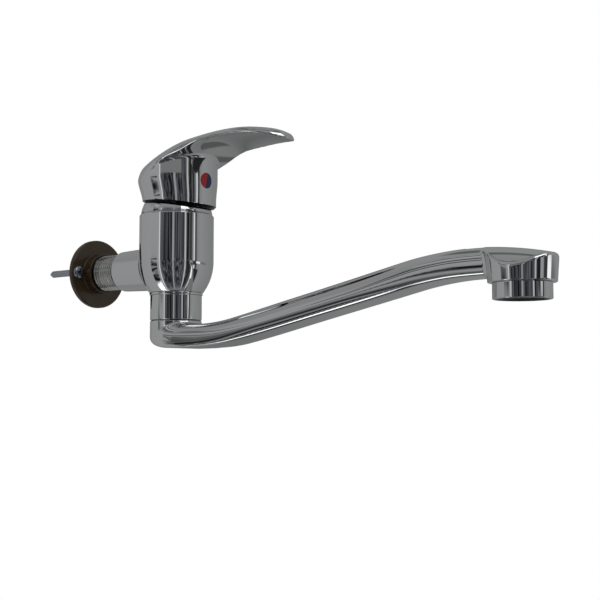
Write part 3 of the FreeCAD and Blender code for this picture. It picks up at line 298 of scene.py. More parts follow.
# "grain" is the size of the main pattern, "stretch" its length along X, Y and Z where it isn't even
finishes = {
    # bright chrome over polished brass: a clear mirror, a little darker than silver, with faint
    # polishing waves and wiped smudges; in its hollows, gaps and undersides the colour is nearly black, a
    # painted shade
    "chrome": {"name": "brightChromePlate", "colour": "#d3d5d6", "paintedShade": "#131314", "metallic": 1.0,
               "roughness": (0.03, 0.065), "grain": 22.0, "bump": 0.012},
    # dull nickel: warmer and softer than the chrome beside it
    "nickel_plate": {"name": "satinNickelPlate", "colour": "#cbcbc8", "metallic": 1.0,
                     "roughness": (0.08, 0.14), "grain": 3.0, "bump": 0.01},
    # cast iron with a dark bronze lacquer: nearly black, with brown patches along the grain, partly the
    # lacquer's own tone and partly a painted sheen
    "bronzed_iron": {"name": "bronzedCastIron", "colour": "#2a2118", "second": "#3d2f1f", "metallic": 0.4,
                     "roughness": (0.24, 0.32), "grain": 9.0, "bump": 0.03, "coat": 0.3},
    # blue passivated zinc on steel: pale grey with a bluish bloom
    "zinc_plate": {"name": "blueZincPlate", "colour": "#8f97a1", "second": "#b4b8bf", "metallic": 1.0,
                   "roughness": (0.22, 0.34), "grain": 1.2, "bump": 0.015},
    # drawn stainless steel: fine lines along the stock
    "steel": {"name": "drawnStainlessSteel", "colour": "#b4b2ae", "metallic": 1.0,
              "roughness": (0.24, 0.36), "grain": 0.9, "stretch": (1, 1, 0.1), "bump": 0.01},
    # turned brass: yellow metal with rings from the lathe
    "brass": {"name": "turnedBrass", "colour": "#c9a45a", "second": "#b48f49", "metallic": 1.0,
              "roughness": (0.2, 0.32), "grain": 0.8, "stretch": (0.3, 0.3, 2), "bump": 0.012},
    # lapped alumina disc: hard, cream white and faintly shiny
    "disc_ceramic": {"name": "lappedAlumina", "colour": "#e8e4da", "second": "#f1eee6", "ior": 1.76,
                     "roughness": (0.12, 0.2), "grain": 0.7, "bump": 0.004},
    # moulded acetal: milky white with soft gloss
    "white_plastic": {"name": "mouldedAcetal", "colour": "#e3e3df", "second": "#d8d8d2", "ior": 1.48,
                      "roughness": (0.34, 0.46), "grain": 0.8, "bump": 0.02},
    # moulded nylon: dark grey with soft gloss
    "grey_plastic": {"name": "mouldedNylon", "colour": "#3a3c3e", "second": "#323436", "ior": 1.53,
                     "roughness": (0.36, 0.5), "grain": 0.8, "bump": 0.02},
    # polished acrylic, hot half: deep red under a hard gloss
    "red_plastic": {"name": "glossRedAcrylic", "colour": "#8a0f14", "second": "#6b0c12", "ior": 1.49,
                    "roughness": (0.08, 0.14), "grain": 4.0, "bump": 0.004},
    # the cold half: navy blue under the same gloss
    "blue_plastic": {"name": "glossBlueAcrylic", "colour": "#101a40", "second": "#0c1430", "ior": 1.49,
                     "roughness": (0.08, 0.14), "grain": 4.0, "bump": 0.004},
    # nitrile rubber: matt black with a moulded bloom
    "black_rubber": {"name": "nitrileRubber", "colour": "#1d1d1e", "second": "#29292a", "ior": 1.52,
                     "roughness": (0.6, 0.78), "grain": 0.6, "bump": 0.03},
    # vulcanised fibre: red-brown pressed board
    "fibre": {"name": "vulcanisedFibre", "colour": "#7d4432", "second": "#8f5541", "ior": 1.54,
              "roughness": (0.6, 0.8), "grain": 0.5, "stretch": (1, 1, 0.2), "bump": 0.03},
}


def makeFinish(facts):
    material, tree = newShader(bpy.data.materials, facts["name"])
    place = addNode(tree, "ShaderNodeTexCoord").outputs["Object"]
    spread = addNode(tree, "ShaderNodeMapping", {"Scale": facts.get("stretch", (1, 1, 1))}, {0: place})
    # the noise's features are about one over its scale across, so the scale is one over the grain
    grain = addNode(tree, "ShaderNodeTexNoise", {"Scale": 1 / (facts["grain"] * mm), "Detail": 3.0},
                    {"Vector": spread}).outputs["Fac"]
    low, high = facts["roughness"]
    wiped = addNode(tree, "ShaderNodeMapRange", {
        "From Min": 0.35, "From Max": 0.65, "To Min": low, "To Max": high}, {0: grain})
    relief = addNode(tree, "ShaderNodeBump", {"Strength": 1.0, "Distance": facts["bump"] * mm},
                     {"Height": grain})
    links = {"Roughness": wiped, "Normal": relief}
    share, colour = grain, linearColour(facts["colour"])
    # painted shade: where the mesh attribute marks it, the base colour turns nearly black
    if "paintedShade" in facts:
        inside = addNode(tree, "ShaderNodeAttribute", {
            "attribute_type": "GEOMETRY", "attribute_name": "paintedShade"})
        share = addNode(tree, "ShaderNodeMapRange", {"From Min": 0.1, "From Max": 0.2},
                        {0: inside.outputs["Fac"]})
    other = facts.get("second", facts.get("paintedShade"))
    if other:
        mixed = addNode(tree, "ShaderNodeMix", {"data_type": "RGBA", 6: colour, 7: linearColour(other)},
                        {0: share})
        links["Base Color"] = mixed.outputs[2]
    surface = addNode(tree, "ShaderNodeBsdfPrincipled", {
        "Base Color": colour, "Metallic": facts.get("metallic", 0.0), "Coat Weight": facts.get("coat", 0.0),
        "Coat Roughness": 0.06}, links)
    if "ior" in facts:
        surface.inputs["IOR"].default_value = facts["ior"]
    addNode(tree, "ShaderNodeOutputMaterial", {}, {"Surface": surface})
    return material


finishOf = {slot: makeFinish(facts) for slot, facts in finishes.items()}
slotOf = {row["node"]: row["material_slot"] for row in frame["record"]["subparts"]}
for nodeName, nodeObject in frame["nodes"].items():
    for slotRow in nodeObject.material_slots:
        slotRow.material = finishOf[slotOf[nodeName]]
print("finishes ready:", len(finishOf))


def addPiece(name, mesh, body, node, paintedShadeTest=None):
    # a piece can carry a painted shade, nearly black where the given test marks it
    if paintedShadeTest:
        markPaintedShade(mesh, paintedShadeTest)
    mesh.materials.clear()
    mesh.materials.append(finishOf[slotOf[node]])
    piece = addObject(name, mesh)
    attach(piece, body)
    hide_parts(node)
    print("  piece", name, len(mesh.polygons), "faces")


def smoothStep(value, low, high):
    share = np.clip((value - low) / (high - low), 0, 1)
    return share * share * (3 - 2 * share)


def eased(value, span, first, last):
    # first before the span, last after it, and a smooth change between
    return first + (last - first) * smoothStep(value, *span)


def roundMax(first, second, radius):
    # both solids at once, their shared edge rounded off
    return (np.minimum(-radius, np.maximum(first, second))
            + np.hypot(np.maximum(first + radius, 0), np.maximum(second + radius, 0)))


def roundMin(first, second, radius):
    # either solid, with a fillet where they meet
    return (np.maximum(radius, np.minimum(first, second))
            - np.hypot(np.maximum(radius - first, 0), np.maximum(radius - second, 0)))


def bored(bores):
    # all bores at once, each given by its wall and its end
    return np.minimum.reduce([np.maximum(wall, end) for wall, end in bores])


class Curve:
    # smooth curve through stations: value and slope anywhere along it, and straight on past its ends
    def __init__(self, stations):
        self.x, self.y = np.array(stations, float).T
        count = len(self.x)
        gap = np.diff(self.x)
        steep = np.diff(self.y) / gap
        matrix = np.eye(count)
        right = np.zeros(count)
        for i in range(1, count - 1):
            matrix[i, i - 1:i + 2] = gap[i - 1], 2 * (gap[i - 1] + gap[i]), gap[i]
            right[i] = 6 * (steep[i] - steep[i - 1])
        self.bend = np.linalg.solve(matrix, right)

    def parts(self, value):
        inside = np.clip(value, self.x[0], self.x[-1])
        i = np.clip(np.searchsorted(self.x, inside) - 1, 0, len(self.x) - 2)
        gap = self.x[i + 1] - self.x[i]
        return i, gap, (self.x[i + 1] - inside) / gap, (inside - self.x[i]) / gap

    def slope(self, value):
        i, gap, a, b = self.parts(value)
        return ((self.y[i + 1] - self.y[i]) / gap
                + gap / 6 * ((3 * b * b - 1) * self.bend[i + 1] - (3 * a * a - 1) * self.bend[i]))

    def __call__(self, value):
        i, gap, a, b = self.parts(value)
        level = (a * self.y[i] + b * self.y[i + 1]
                 + gap * gap / 6 * ((a ** 3 - a) * self.bend[i] + (b ** 3 - b) * self.bend[i + 1]))
        return level + (value - np.clip(value, self.x[0], self.x[-1])) * self.slope(value)


def markPaintedShade(mesh, test):
    # test gives, for points in run, side and height, how far each lies inside the part painted dark as shade
    points = np.empty(3 * len(mesh.vertices))
    mesh.vertices.foreach_get("co", points)
    points = points.reshape(-1, 3) / mm
    levels = np.clip(test(points[:, 0] - wallToAxis, points[:, 1], points[:, 2]), -1, 1)
    layer = mesh.attributes.new("paintedShade", "FLOAT", "POINT")
    layer.data.foreach_set("value", levels)


# A cast piece is sampled in cells, and its points are moved onto the true surface in a few turns
casting = {"cell": 0.7, "probe": 0.02, "leastSlope": 0.05, "turns": 5}


def skinPoints(values):
    # the middle of the crossed edges of each cell that the surface crosses, counted in cells
    cells = [n - 1 for n in values.shape]
    total = np.zeros(cells + [3])
    hits = np.zeros(cells)

    def corner(offset):
        return values[tuple(slice(offset[i], offset[i] + cells[i]) for i in range(3))]

    for axis in range(3):
        for first in (0, 1):
            for second in (0, 1):
                start = [first, second]
                start.insert(axis, 0)
                end = list(start)
                end[axis] = 1
                crossed = (corner(start) < 0) != (corner(end) < 0)
                a, b = corner(start)[crossed], corner(end)[crossed]
                point = np.tile(np.array(start, float), (len(a), 1))
                point[:, axis] = a / (a - b)
                total[crossed] += point
                hits[crossed] += 1
    used = hits > 0
    number = np.full(cells, -1)
    number[used] = np.arange(used.sum())
    return np.argwhere(used) + total[used] / hits[used][:, None], number


def skinFaces(inside, number):
    # one face round each crossed edge of the grid, turned outwards
    quads = []
    for axis in range(3):
        side, up = (axis + 1) % 3, (axis + 2) % 3
        one = [slice(1, n - 1) for n in inside.shape]
        two = list(one)
        one[axis] = slice(0, inside.shape[axis] - 1)
        two[axis] = slice(1, inside.shape[axis])
        before, after = inside[tuple(one)], inside[tuple(two)]
        at = np.argwhere(before != after)
        outward = before[before != after]
        loop = []
        for sideStep, upStep in ((0, 0), (1, 0), (1, 1), (0, 1)):
            place = at.copy()
            place[:, side] += sideStep
            place[:, up] += upStep
            loop.append(number[tuple(place.T)])
        loop = np.stack(loop, 1)
        loop[~outward] = loop[~outward][:, ::-1]
        quads.append(loop)
    return np.concatenate(quads).tolist()


def fieldSlope(field, points):
    probe = casting["probe"]
    slope = np.empty_like(points)
    for axis in range(3):
        shift = np.zeros(3)
        shift[axis] = probe
        slope[:, axis] = (field(*(points + shift).T) - field(*(points - shift).T)) / (2 * probe)
    return slope


def castMesh(field, shape):
    # skin of a solid given as a signed distance in run, side and height, between the shape's corners
    cell, low, high = casting["cell"], shape["low"], shape["high"]
    axes = [low[i] + cell * np.arange(int(math.ceil((high[i] - low[i]) / cell)) + 1) for i in range(3)]
    values = field(*np.meshgrid(*axes, indexing="ij"))
    places, number = skinPoints(values)
    points = np.array(low) + cell * places
    for turn in range(casting["turns"]):
        slope = fieldSlope(field, points)
        move = -(field(*points.T) / np.maximum((slope ** 2).sum(1), casting["leastSlope"]))[:, None] * slope
        points += move / np.maximum(np.linalg.norm(move, axis=1) / (0.5 * cell), 1)[:, None]
    normals = fieldSlope(field, points)
    normals /= np.maximum(np.linalg.norm(normals, axis=1), 1e-9)[:, None]
    mesh = newMesh(points + (wallToAxis, 0, 0), skinFaces(values < 0, number))
    mesh.normals_split_custom_set_from_vertices(normals.tolist())
    return mesh


# Turned pieces: sides all round, the angle that stays a sharp edge, an angle that counts as
# straight, the most of a side that a round takes, the turn of one step of a round and the fewest
# steps, and the distance of the points that hold the flats beside it
turning = {"sides": 144, "sharp": 32, "straight": 177.6, "mostOfSide": 0.45, "stepTurn": 9.17, "fewest": 4,
           "hold": 0.12, "holdShare": 0.3, "leastHold": 0.01}


def roundedOutline(corners):
    # closed outline of (radius, height, corner round), with short arcs at the rounded corners
    # and a holding point beside each arc, so that long flats stay flat to the eye
    t = turning
    outline = []
    for i, (x, y, rounding) in enumerate(corners):
        here = np.array((x, y), float)
        back = np.array(corners[i - 1][:2], float) - here
        ahead = np.array(corners[(i + 1) % len(corners)][:2], float) - here
        backLength, aheadLength = np.linalg.norm(back), np.linalg.norm(ahead)
        back, ahead = back / backLength, ahead / aheadLength
        angle = math.acos(max(-1.0, min(1.0, float(back @ ahead))))
        if rounding <= 0 or angle > math.radians(t["straight"]):
            outline.append(tuple(here))
            continue
        taken = min(rounding / math.tan(angle / 2), t["mostOfSide"] * min(backLength, aheadLength))
        rounding = taken * math.tan(angle / 2)
        middle = here + (back + ahead) / np.linalg.norm(back + ahead) * rounding / math.sin(angle / 2)
        start, end = here + back * taken - middle, here + ahead * taken - middle
        hold = min(t["hold"], t["holdShare"] * (0.5 * min(backLength, aheadLength) - taken))
        if hold > t["leastHold"]:
            outline.append(tuple(here + back * (taken + hold)))
        turn = math.pi - angle
        steps = max(t["fewest"], int(turn / math.radians(t["stepTurn"])))
        for step in range(steps + 1):
            share = step / steps
            blend = (start * math.sin((1 - share) * turn) + end * math.sin(share * turn)) / math.sin(turn)
            outline.append(tuple(middle + blend))
        if hold > t["leastHold"]:
            outline.append(tuple(here + ahead * (taken + hold)))
    return outline


def latheMesh(corners, centre=wallToAxis, alongX=False):
    # an outline turned about an upright axis at centre, or about the inlet's axis. Its corners run
    # clockwise, with the radius to the right and the height upwards, so that the faces point outwards
    outline = roundedOutline(corners)
    sides, size = turning["sides"], len(outline)
    points, faces = [], []
    for side in range(sides):
        c, s = math.cos(2 * math.pi * side / sides), math.sin(2 * math.pi * side / sides)
        points += [(h, r * c, r * s) if alongX else (centre + r * c, r * s, h) for r, h in outline]
        a, b = side * size, (side + 1) % sides * size
        faces += [(a + i, a + (i + 1) % size, b + (i + 1) % size, b + i) for i in range(size)]
    mesh = newMesh(points, faces)
    mesh.set_sharp_from_angle(angle=math.radians(turning["sharp"]))
    return mesh


# The tap body is a deep bowl with a side arm, cast as one piece
bowl = {"radius": 21.0, "top": 29.3, "shoulder": 1.0, "taperStart": 3.1, "taperRadius": 30.0,
        "foot": -14.9, "stubRadius": 11.9, "stubFoot": -24.5, "stubTop": 0.0, "edge": 0.4,
        "mouth": -42.7, "mouthRadius": 11.75, "mouthRound": 0.9, "root": -17.5, "rootRadius": 12.5,
        "armEnd": -6.0, "armEndRound": 1.0, "armFillet": 1.5, "chamber": 17.5, "chamberFloor": 6.0,
        "threadRadius": 19.0, "threadStart": 22.0, "socketRadius": 10.53, "socketEnd": -26.7,
        "passage": 4.5, "outlet": 9.05, "outletRoof": -13.0, "port": 2.75, "portRun": -6.5,
        "portSide": 5.5, "drain": 3.5, "drainRun": 7.0, "drainFloor": -17.5, "boreEdge": 0.3,
        "low": (-44.5, -22.6, -26), "high": (22.6, 22.6, 31)}


def bodyField(u, y, z):
    b = bowl
    out = np.hypot(u, y)
    about = np.hypot(y, z)
    taper = np.hypot(out + b["taperRadius"] - b["radius"], z - b["taperStart"]) - b["taperRadius"]
    side = np.where(z < b["taperStart"], taper, out - b["radius"])
    cup = roundMax(roundMax(side, z - b["top"], b["shoulder"]), b["foot"] - z, b["edge"])
    stub = roundMax(out - b["stubRadius"], b["stubFoot"] - z, b["edge"])
    stub = roundMax(stub, z - b["stubTop"], b["edge"])
    flare = (b["rootRadius"] - b["mouthRadius"]) / (b["root"] - b["mouth"])
    arm = about - b["mouthRadius"] - (u - b["mouth"]) * flare
    arm = roundMax(roundMax(arm, b["mouth"] - u, b["mouthRound"]), u - b["armEnd"], b["armEndRound"])
    solid = roundMin(np.minimum(cup, stub), arm, b["armFillet"])
    bores = [(out - b["chamber"], b["chamberFloor"] - z), (out - b["threadRadius"], b["threadStart"] - z),
             (about - b["socketRadius"], u - b["socketEnd"]), (about - b["passage"], u),
             (out - b["outlet"], z - b["outletRoof"]),
             (np.hypot(u - b["portRun"], np.abs(y) - b["portSide"]) - b["port"], -z),
             (np.hypot(u - b["drainRun"], y) - b["drain"], b["drainFloor"] - z)]
    return roundMax(solid, -bored(bores), b["boreEdge"])


addPiece("castBody", castMesh(bodyField, bowl), "tap", "tap_body")

# The handle is a round barrel whose top runs out into a crowned lever. Its undercut lip grows
# deeper, and its upper round smaller, over the named spans from rear to front.
grip = {"foot": 36.0, "waist": 50.0, "footOffset": 2.0, "footRadius": 20.75, "waistOffset": 0.6,
        "waistRadius": 22.6, "rimHeight": 34.95, "rimTilt": 8.0, "rimRound": 0.3, "lipRear": 0.1,
        "lipFront": 1.5, "lipSpan": (-14, 14), "lipReach": 3.0, "lipRound": 0.15, "cavityHeight": 27.0,
        "cavityRadius": 20.9, "wellRadius": 15.0, "wellTop": 56.0, "bossRadius": 6.8, "bossFoot": 43.5,
        "spindleHalf": 3.85, "spindleTop": 52.05, "hollowRound": 0.4, "blend": 1.5, "rearRound": 4.5,
        "frontRound": 2.0, "roundSpan": (-6, 34), "lowerRound": 0.9, "tipSlope": 12, "paintedShadeDepth": 0.35,
        "low": (-24, -24.5, 31), "high": (87, 24.5, 74)}
# sections of the lever: run, height and arch of its crown, and height and arch of its underside
leverSections = [(-26, 55.6, 0.026, None, None), (-17.5, 59.3, 0.026, None, None),
                 (-10, 62.0, 0.0225, 49.0, -0.001), (0, 64.8, 0.0171, 53.0, -0.001),
                 (11, 67.2, 0.0126, 57.0, -0.0015), (21, 69.2, 0.0108, 60.0, -0.001),
                 (31, 70.6, 0.0112, 65.4, 0.0046), (45, 71.6, 0.0118, 68.6, 0.0101),
                 (59, 71.1, 0.0122, 68.4, 0.0112), (70, 69.2, 0.0125, 66.4, 0.0105),
                 (76, 67.6, 0.015, 64.3, 0.011), (80.3, 65.6, 0.019, 62.4, 0.012),
                 (84, 63.6, 0.02, 60.6, 0.012)]
crownLine, crownArch, underLine, underArch = [
    Curve([(row[0], row[i]) for row in leverSections if row[i] is not None]) for i in range(1, 5)]
# square of the lever's half width, which falls through zero at its tip
spanLine = Curve([(-30, -160), (-15, 200), (-5, 410), (0, 465), (5, 492), (11, 490), (21, 428), (31, 385),
                  (45, 356), (59, 300), (70, 212), (76, 121), (80.3, 41), (82.3, 0), (84, -36)])


def barrelParts(z):
    span = (grip["foot"], grip["waist"])
    return (eased(z, span, grip["footOffset"], grip["waistOffset"]),
            eased(z, span, grip["footRadius"], grip["waistRadius"]))


def archedSheet(line, bend, u, y, z):
    # how far a point lies over a sheet that follows the line and falls off to both sides
    arch = bend(u)
    return (z - line(u) + arch * y * y) / np.sqrt(1 + line.slope(u) ** 2 + (2 * arch * y) ** 2)


def rimParts(u, y, z):
    # the tilted foot of the handle, and the undercut round it, deeper in front
    g = grip
    offset, radius = barrelParts(z)
    tilt = math.radians(g["rimTilt"])
    rim = (g["rimHeight"] - math.tan(tilt) * u - z) * math.cos(tilt)
    depth = eased(u, g["lipSpan"], g["lipRear"], g["lipFront"])
    return rim, (np.minimum(np.hypot(u - offset, y) - radius, g["lipReach"]) + rim + depth) * math.sqrt(0.5)


def gripHollow(u, y, z):
    # a ball for the cover, a well for the cartridge with a boss in it, and the spindle's square
    g = grip
    out = np.hypot(u, y)
    ball = np.sqrt(u * u + y * y + (z - g["cavityHeight"]) ** 2) - g["cavityRadius"]
    well = np.maximum(np.maximum(out - g["wellRadius"], z - g["wellTop"]), g["cavityHeight"] - z)
    boss = np.maximum(out - g["bossRadius"], g["bossFoot"] - z)
    square = np.maximum(np.maximum(np.abs(u), np.abs(y)) - g["spindleHalf"], z - g["spindleTop"])
    return np.minimum(np.maximum(np.minimum(ball, well), -boss), square)


def handleField(u, y, z):
    g = grip
    offset, radius = barrelParts(z)
    barrel = np.hypot(u - offset, y) - radius
    outline = (y * y - spanLine(u)) / np.maximum(np.hypot(spanLine.slope(u), 2 * y), g["tipSlope"])
    lever = roundMax(outline, -archedSheet(underLine, underArch, u, y, z), g["lowerRound"])
    rounding = eased(u, g["roundSpan"], g["rearRound"], g["frontRound"])
    crown = archedSheet(crownLine, crownArch, u, y, z)
    solid = roundMax(roundMin(barrel, lever, g["blend"]), crown, rounding)
    rim, lip = rimParts(u, y, z)
    solid = roundMax(roundMax(solid, rim, g["rimRound"]), lip, g["lipRound"])
    return roundMax(solid, -gripHollow(u, y, z), g["hollowRound"])


# painted shade: the handle's foot, its undercut lip and its hollow are painted nearly black
def gripPaintedShade(u, y, z):
    rim, lip = rimParts(u, y, z)
    return np.maximum(np.maximum(rim, lip), -gripHollow(u, y, z)) + grip["paintedShadeDepth"]


addPiece("leverHandle", castMesh(handleField, grip), "lever", "handle", gripPaintedShade)

# The two colour halves are let into the front of the barrel
mark = {"height": 46.85, "radius": 4.6, "depth": 1.5, "proud": 0.14, "edge": 0.35, "lean": 12.0,
        "split": 0.05, "rings": 12, "fans": 40, "sharp": 40}


def cleaned(mesh):
    # doubled points joined, thin faces dissolved and all faces turned outwards
    shape = bmesh.new()
    shape.from_mesh(mesh)
    bmesh.ops.remove_doubles(shape, verts=shape.verts, dist=joinWithin * mm)
    bmesh.ops.dissolve_degenerate(shape, edges=shape.edges, dist=0.1 * joinWithin * mm)
    bmesh.ops.recalc_face_normals(shape, faces=shape.faces)
    shape.to_mesh(mesh)
    shape.free()
    return mesh


def markHalf(sign):
    m = mark
    rings, fans = m["rings"], m["fans"]
    turn = math.radians(-m["lean"])
    front, back = [], []
    for ring in range(rings + 1):
        radius = m["radius"] * ring / rings
        for fan in range(fans + 1):
            angle = math.pi * fan / fans
            a = sign * (radius * math.sin(angle) + m["split"] / 2)
            b = radius * math.cos(angle)
            y = a * math.cos(turn) - b * math.sin(turn)
            z = m["height"] + a * math.sin(turn) + b * math.cos(turn)
            offset, wide = barrelParts(z)
            run = wallToAxis + float(offset + math.sqrt(wide * wide - y * y))
            inset = max(0.0, radius - (m["radius"] - m["edge"]))
            drop = m["edge"] - math.sqrt(max(0.0, m["edge"] ** 2 - inset ** 2))
            front.append((run + m["proud"] - drop, y, z))
            back.append((run - m["depth"], y, z))
    count = len(front)
    faces = []

    def at(ring, fan):
        return ring * (fans + 1) + fan

    for ring in range(rings):
        for fan in range(fans):
            quad = (at(ring, fan), at(ring + 1, fan), at(ring + 1, fan + 1), at(ring, fan + 1))
            faces += [quad, tuple(count + i for i in reversed(quad))]
    edge = [at(rings, fan) for fan in range(fans + 1)]
    edge += [at(ring, fans) for ring in range(rings - 1, -1, -1)] + [at(ring, 0) for ring in range(1, rings)]
    faces += [(j, i, count + i, count + j) for i, j in zip(edge, edge[1:] + edge[:1])]
    mesh = cleaned(newMesh(front + back, faces))
    mesh.set_sharp_from_angle(angle=math.radians(m["sharp"]))
    return mesh


addPiece("hotHalf", markHalf(-1), "lever", "hot_mark")
addPiece("coldHalf", markHalf(1), "lever", "cold_mark")

# The spout is a flat-bottomed tube bent from the swivel up to the outlet head. A span is the
# stretch over which one value turns into the next, along the run or, for the head's fillet, in height.
spout = {"lowLevel": -39.4, "lowBendStart": 20.01, "lowRadius": 133.0, "slopeStart": (47.1, -36.61),
         "slope": 11.752, "slopeEnd": 156.08, "highRadius": 157.0, "highBendEnd": 188.06,
         "highLevel": -10.65, "sag": 0.5, "sagSpan": (18, 60), "sagEndSpan": (165, 200),
         "halfHeight": 6.8, "sectionFall": 2.2, "sideSwell": 12.0, "floorRound": 1.4, "endRound": 2.0,
         "ovalSquare": 2, "baseSquare": 3.4, "baseSquareSpan": (5, 70), "headSquare": 2.7,
         "headSquareSpan": (120, 190), "baseDeeper": 2.0, "baseDeeperSpan": (6, 26),
         "baseRadius": 14.5, "baseTop": -30.6, "baseFoot": -46.2, "baseRound": 2.2, "neckRound": 0.5,
         "neckFillet": 0.3, "baseFillet": 3.5, "baseFilletSpan": (-2, 12), "keelBend": 36.0,
         "keelStart": 7.0, "axis": 213.0, "headFoot": -20.8, "headLow": 15.1, "headHigh": 16.3,
         "headTop": -3.7,
         "headOver": 3.0, "headFillet": 1.6, "crownFillet": 2.0, "filletSpan": (-14, -5), "headEdge": 0.9,
         "vaultRun": 187.0, "vaultHeight": -183.7, "vaultMajor": 161.0, "vaultMinor": 19.0,
         "vaultLift": 0.7, "headStart": 182.0, "footRound": 0.4, "footRoundSpan": (8, 24),
         "chamber": 11.85, "chamberRoof": -12.3, "waterway": 4.0, "well": 6.5, "wellDepth": 2.0,
         "socket": 9.05, "socketFloor": -34.05, "boreEdge": 0.3, "paintedShadeDepth": 0.3, "paintedShadeMargin": 1.0,
         "low": (-16, -19, -47.6), "high": (231, 19, -1.6)}
widthLine = Curve([(-10, 14.5), (0, 14.5), (12, 13.9), (30, 12.2), (50, 10.7), (75, 9.7), (105, 9.4),
                   (225, 9.4)])
depthLine = Curve([(-10, 6.4), (10, 6.4), (35, 6.6), (60, 7.15), (100, 7.2), (150, 7.1), (175, 6.85),
                   (195, 6.75), (225, 6.75)])


def arcHeight(radius, away):
    return np.sqrt(np.maximum(radius ** 2 - away ** 2, 1))


def spoutLine(u):
    # height of the section's middle along the spout, and the cosine of its slope
    s = spout
    slope = math.radians(s["slope"])
    slopeRun, slopeHeight = s["slopeStart"]
    low = s["lowLevel"] + s["lowRadius"] - arcHeight(s["lowRadius"], u - s["lowBendStart"])
    rise = slopeHeight + (u - slopeRun) * math.tan(slope)
    high = s["highLevel"] - s["highRadius"] + arcHeight(s["highRadius"], u - s["highBendEnd"])
    line = np.where(u < s["lowBendStart"], s["lowLevel"], np.where(u < slopeRun, low, rise))
    line = np.where(u > s["slopeEnd"], np.where(u > s["highBendEnd"], s["highLevel"], high), line)
    line = line - s["sag"] * smoothStep(u, *s["sagSpan"]) * (1 - smoothStep(u, *s["sagEndSpan"]))
    lean = np.minimum(np.maximum(u - s["lowBendStart"], 0) / s["lowRadius"], math.sin(slope))
    lean = np.where(u > s["slopeEnd"], np.maximum(s["highBendEnd"] - u, 0) / s["highRadius"], lean)
    return line, np.sqrt(1 - lean * lean)


def spoutArm(u, y, across):
    # the section is a rounded square over a flat floor; behind the swivel it is turned round the
    # upright axis, so that the base is round
    s = spout
    wide = widthLine(np.maximum(u, 0))
    side = np.hypot(np.minimum(u, 0), y) / wide
    square = (eased(u, s["baseSquareSpan"], s["baseSquare"], s["ovalSquare"])
              + eased(u, s["headSquareSpan"], 0, s["headSquare"] - s["ovalSquare"]))
    level = across * s["halfHeight"] / depthLine(u)
    rise = level + s["sectionFall"]
    rise = np.where(rise > 0, rise / (s["halfHeight"] + s["sectionFall"]), rise / s["sideSwell"])
    section = ((side ** square + np.abs(rise) ** square) ** (1 / square) - 1) * wide
    deeper = eased(u, s["baseDeeperSpan"], s["baseDeeper"], 0)
    return roundMax(roundMax(section, -s["halfHeight"] - level - deeper, s["floorRound"]), u - s["axis"],
                    s["endRound"])


def spoutField(u, y, z):
    s = spout
    line, cosine = spoutLine(u)
    across = (z - line) * cosine
    out = np.hypot(u, y)
    fromHead = np.hypot(u - s["axis"], y)
    neck = np.maximum(roundMax(out - s["baseRadius"], z - s["baseTop"], s["neckRound"]), s["lowLevel"] - z)
    fillet = eased(u, s["baseFilletSpan"], s["neckFillet"], s["baseFillet"])
    solid = roundMin(neck, spoutArm(u, y, across), fillet)
    flare = (s["headHigh"] - s["headLow"]) / (s["headTop"] - s["headFoot"])
    head = fromHead - s["headLow"] - (z - s["headFoot"]) * flare
    head = np.maximum(head, z - s["headTop"] - s["headOver"])
    solid = roundMin(solid, head, eased(z, s["filletSpan"], s["headFillet"], s["crownFillet"]))
    vault = np.hypot(u - s["vaultRun"], z - s["vaultHeight"]) - s["vaultMajor"]
    vault = np.hypot(vault, y) - s["vaultMinor"] - s["vaultLift"] * np.maximum(s["vaultRun"] - u, 0)
    solid = roundMax(solid, vault, s["headEdge"])
    keel = s["baseFoot"] + s["keelBend"] - arcHeight(s["keelBend"], np.maximum(s["keelStart"] - u, 0))
    foot = np.where(u > s["headStart"], s["headFoot"], keel)
    solid = roundMax(solid, foot - z, eased(u, s["footRoundSpan"], s["baseRound"], s["footRound"]))
    bores = [(fromHead - s["chamber"], z - s["chamberRoof"]),
             (np.hypot(across, y) - s["waterway"], np.maximum(u - s["axis"], -u)),
             (out - s["well"], s["lowLevel"] - s["wellDepth"] - z),
             (out - s["socket"], s["socketFloor"] - z)]
    return roundMax(solid, -bored(bores), s["boreEdge"])


# painted shade: the top of the spout's round base, under the collar nut, is painted nearly black
def spoutPaintedShade(u, y, z):
    return np.minimum(z - spout["baseTop"] + spout["paintedShadeDepth"],
                      spout["baseRadius"] + spout["paintedShadeMargin"] - np.hypot(u, y))


addPiece("bentSpout", castMesh(spoutField, spout), "spout", "spout", spoutPaintedShade)
print("cast pieces done")

# The wall flange is a flat plate with a hub
plate = {"radius": 20.5, "thickness": 3.0, "rim": 0.9, "back": 0.25, "hub": 12.0, "hubReach": 8.75,
         "hubRound": 0.5, "hubFillet": 0.8, "bore": 10.528, "boreRound": 0.3}


def plateOutline():
    p = plate
    return [(p["bore"], 0, 0), (p["bore"], p["hubReach"], p["boreRound"]),
            (p["hub"], p["hubReach"], p["hubRound"]), (p["hub"], p["thickness"], p["hubFillet"]),
            (p["radius"], p["thickness"], p["rim"]), (p["radius"], 0, p["back"])]


addPiece("wallPlate", latheMesh(plateOutline(), alongX=True), "tap", "wall_flange")

# The cover is a ball round the lever's pivot, so that the handle glides over it
cover = {"ball": 20.35, "pivot": 27.0, "foot": 29.3, "footStep": 0.5, "ballEnd": 36.6, "ballSteps": 12,
         "opening": 13.0, "top": 38.0, "wall": 1.2, "shoulder": 1.0, "topFall": 0.2}


